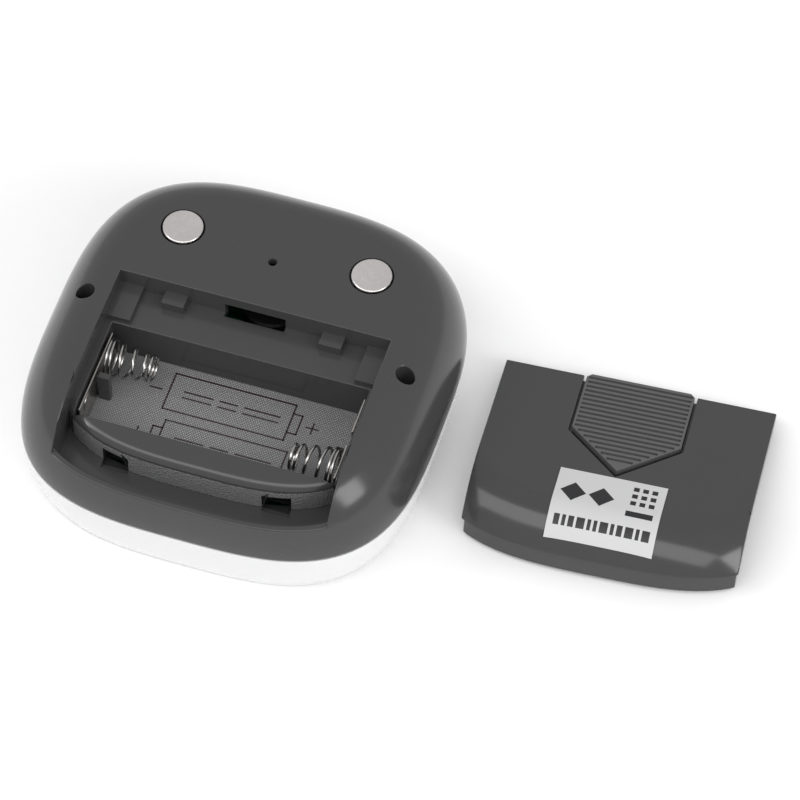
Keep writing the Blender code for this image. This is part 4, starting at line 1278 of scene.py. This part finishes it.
def makeLatch(rest):
    top = case["top"]
    farY = seat["farY"] - door["gap"]
    topZ = top + pad["proud"]
    lowZ = top - pad["depth"]
    piece = prism("doorLatch", padOutline(0, farY, 0, pad["chamfer"]), topZ - pad["thick"], topZ)
    softenEdges(piece, pad["soften"])
    # Transverse ribs, left standing inside a smooth margin
    tip = farY - pad["straight"] - pad["point"]
    cutters = []
    groove = pad["ribPitch"] * pad["ribShare"]
    y = farY - pad["margin"] - pad["ribPitch"] / 2
    while y > tip + pad["ribStart"]:
        half = pad["half"] - pad["margin"]
        shoulder = farY - pad["straight"]
        if y < shoulder + pad["margin"]:
            half = min(half, (y - tip) * pad["half"] / pad["point"] - pad["margin"] * pad["slant"])
        if half > pad["leastRib"]:
            cutters.append(block("rib", (-half, y - groove, topZ - pad["ribDepth"]),
                                 (half, y + groove, topZ + mm)))
        y -= pad["ribPitch"]
    carve(piece, *cutters)
    arm = block("arm", (-pad["armHalf"], farY - pad["arm"], lowZ),
                (pad["armHalf"], farY - pad["armTrim"], topZ - pad["thick"] / 2))
    strip = block("strip", (-pad["armHalf"], farY - pad["arm"] - pad["stripLength"], lowZ),
                  (pad["armHalf"], farY - pad["arm"] + pad["armOverlap"], lowZ + pad["strip"]))
    hook = block("hook", (-pad["hookHalf"], farY - pad["arm"] + pad["armOverlap"], lowZ + pad["hookRise"]),
                 (pad["hookHalf"], seat["farY"] + pad["hookReach"], lowZ + pad["hookRise"] + pad["hookTall"]))
    weld(piece, arm, strip, hook)
    smooth(piece)
    piece.data.transform(rest)
    return place(piece, padPlastic, "latch", ["door_latch"])


doorRest = doorMatrix()
makeDoor(doorRest)
makeLatch(doorRest)
print("door and latch ready")


# Label on the door

label = {
    "halfX": 10.5 * mm,
    "farY": -21.5 * mm,
    "nearY": -36.3 * mm,
    "lift": 0.06 * mm,
    "thick": 0.19 * mm,
    "ink": 0.02 * mm,
    "sunk": 0.01 * mm,
    "slopeStep": 0.05 * mm,
    "diamonds": ((-6.9 * mm, -27.4 * mm), (-1.4 * mm, -27.4 * mm)),
    "diamondHalf": 2.5 * mm,
    "bar": (3.8 * mm, -30.8 * mm, 9.1 * mm, -29.6 * mm),
    # In millimetres
    "tiles": {"x": 4.2, "y": -27.9, "stepX": 1.8, "stepY": 1.9, "side": 1.1, "count": 3},
    "bars": {"left": -9.3, "last": 8.4, "right": 9.3, "low": -34.5, "high": -32.8, "gap": 0.5,
             "widths": (0.7, 1.1, 1.6), "seed": 7},
}


def conformingPatch(name, outline, low, high, cell=0.5 * mm):
    # A flat outline cut on the back's curve: drawn as a thin slab and pressed onto the surface
    build = bmesh.new()
    build.faces.new([build.verts.new((x, y, 0)) for x, y in outline])
    xs = [x for x, y in outline]
    ys = [y for x, y in outline]
    for axis, values in (((1, 0, 0), xs), ((0, 1, 0), ys)):
        at = math.floor(min(values) / cell) * cell
        while at < max(values):
            spot = Vector(axis) * at
            bmesh.ops.bisect_plane(build, geom=build.verts[:] + build.edges[:] + build.faces[:], dist=1e-7,
                                   plane_co=spot, plane_no=axis)
            at += cell
    drawn = bmesh.ops.extrude_face_region(build, geom=build.faces[:])
    upper = {item for item in drawn["geom"] if isinstance(item, bmesh.types.BMVert)}
    reach = label["slopeStep"]
    for vert in build.verts:
        x, y, _ = vert.co
        nearX = rearHeight(x + reach, y) - rearHeight(x - reach, y)
        nearY = rearHeight(x, y + reach) - rearHeight(x, y - reach)
        normal = Vector((-nearX, -nearY, 2 * reach)).normalized()
        vert.co.z = rearHeight(vert.co.x, vert.co.y)
        vert.co += normal * (high if vert in upper else low)
    bmesh.ops.recalc_face_normals(build, faces=build.faces)
    return newObject(name, build)


def rectangle(lowX, lowY, highX, highY):
    return [(lowX, lowY), (highX, lowY), (highX, highY), (lowX, highY)]


def diamond(x, y, half):
    return [(x - half, y), (x, y - half), (x + half, y), (x, y + half)]


def makeLabel(rest):
    sheetTop = label["thick"] + label["lift"]
    sheet = conformingPatch("labelSheet", rectangle(-label["halfX"], label["nearY"], label["halfX"],
                                                    label["farY"]), label["lift"], sheetTop)
    sheet.data.transform(rest)
    place(smooth(sheet, 50), labelFilm, "door", ["rating_label"])
    # Plain shapes and bars only
    shapes = [diamond(x, y, label["diamondHalf"]) for x, y in label["diamonds"]]
    shapes.append(rectangle(*label["bar"]))
    tiles, bars = label["tiles"], label["bars"]
    side = tiles["side"] * mm
    for column in range(tiles["count"]):
        for row in range(tiles["count"]):
            x = (tiles["x"] + column * tiles["stepX"]) * mm
            y = (tiles["y"] + row * tiles["stepY"]) * mm
            shapes.append(rectangle(x, y, x + side, y + side))
    random.seed(bars["seed"])
    x = bars["left"]
    while x < bars["last"]:
        length = random.choice(bars["widths"])
        end = min(x + length, bars["right"]) * mm
        shapes.append(rectangle(x * mm, bars["low"] * mm, end, bars["high"] * mm))
        x += length + bars["gap"]
    inkLow = sheetTop - label["sunk"]
    inks = [conformingPatch("ink", outline, inkLow, inkLow + label["ink"]) for outline in shapes]
    marking = joinPieces("labelPrint", inks)
    marking.data.transform(rest)
    place(smooth(marking, 50), labelInk, "door")


makeLabel(doorRest)
print("label ready")


# CAD pieces that stay, with their own finishes

keptLooks = {
    "lcd_panel": lcdGlass, "lcd_frame": whitePlain, "upper_contact_strip": contactRubber,
    "lower_contact_strip": contactRubber, "switch_left": blackPart, "switch_middle": blackPart,
    "switch_right": blackPart, "main_board": boardGreen, "buzzer": blackPart, "controller_chip": blackPart,
    "clock_crystal": springSteel, "capacitor": sleeveBlue, "positive_lead": redSleeve,
    "negative_lead": blackPart,
}
for node, look in keptLooks.items():
    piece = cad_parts[node]
    piece.data.materials.clear()
    piece.data.materials.append(look)


# Floor, lights and camera

studio = {
    "floorTone": 0.97,
    "worldTone": 1.0,
    "worldStrength": 0.62,
    "key": ((-0.08, -0.36, 0.72), (1.5, 0.36), 3.9),
    "side": ((0.78, -0.27, 0.46), (0.34, 0.46), 2.4),
    "fill": ((-0.62, -0.30, 0.50), (0.14, 0.2), 0.5),
}


def makeFloor():
    build = bmesh.new()
    bmesh.ops.create_grid(build, x_segments=8, y_segments=8, size=6.0)
    floor = newObject("paleFloor", build)
    look, tree, shader, where = startLook("paleFloor")
    tint = fillGroup(tree, colourDrift, {"Vector": where, "Colour": (studio["floorTone"],) * 3 + (1,),
                                         "Drift": 0.005, "Dust": 0.0})
    tree.links.new(tint.outputs["Colour"], shader.inputs["Base Color"])
    shader.inputs["Roughness"].default_value = 0.9
    shader.inputs["Specular IOR Level"].default_value = 0.1
    floor.data.materials.append(look)


def makeLight(name, spot, size, power):
    lamp = bpy.data.lights.new(name, "AREA")
    lamp.shape = "RECTANGLE"
    lamp.size, lamp.size_y = size
    lamp.energy = power
    thing = bpy.data.objects.new(name, lamp)
    bpy.context.scene.collection.objects.link(thing)
    thing.location = spot
    aim = Vector((0.03, 0, 0.01)) - Vector(spot)
    thing.rotation_euler = aim.to_track_quat("-Z", "Y").to_euler()


def makeStudio():
    makeFloor()
    for name in ("key", "side", "fill"):
        spot, size, power = studio[name]
        makeLight(name, spot, size, power)
    world = bpy.data.worlds.new("paleRoom")
    bpy.context.scene.world = world
    world.use_nodes = True
    back = world.node_tree.nodes["Background"]
    back.inputs["Color"].default_value = (studio["worldTone"],) * 3 + (1,)
    back.inputs["Strength"].default_value = studio["worldStrength"]
    bpy.context.scene.view_settings.view_transform = "Standard"
    bpy.context.scene.view_settings.look = "None"


view = {"target": (29.52 * mm, 5.75 * mm, 10 * mm), "distance": 869.47 * mm, "elevation": 54.93,
        "azimuth": 16.70, "roll": 0.99, "lens": 202.06}


def makeCamera():
    elevation = math.radians(view["elevation"])
    azimuth = math.radians(view["azimuth"])
    roll = math.radians(view["roll"])
    back = Vector((math.sin(azimuth) * math.cos(elevation), -math.cos(azimuth) * math.cos(elevation),
                   math.sin(elevation)))
    right = Vector((math.cos(azimuth), math.sin(azimuth), 0))
    up = back.cross(right)
    rolledRight = right * math.cos(roll) + up * math.sin(roll)
    rolledUp = up * math.cos(roll) - right * math.sin(roll)
    camera = bpy.data.objects.new("camera", bpy.data.cameras.new("camera"))
    bpy.context.scene.collection.objects.link(camera)
    axes = Matrix((rolledRight, rolledUp, back)).transposed()
    camera.matrix_world = Matrix.LocRotScale(Vector(view["target"]) + back * view["distance"], axes, None)
    camera.data.lens = view["lens"]
    camera.data.sensor_width = 36
    camera.data.clip_start = 0.01
    camera.data.clip_end = 20
    bpy.context.scene.camera = camera


makeStudio()
makeCamera()
print("studio ready")
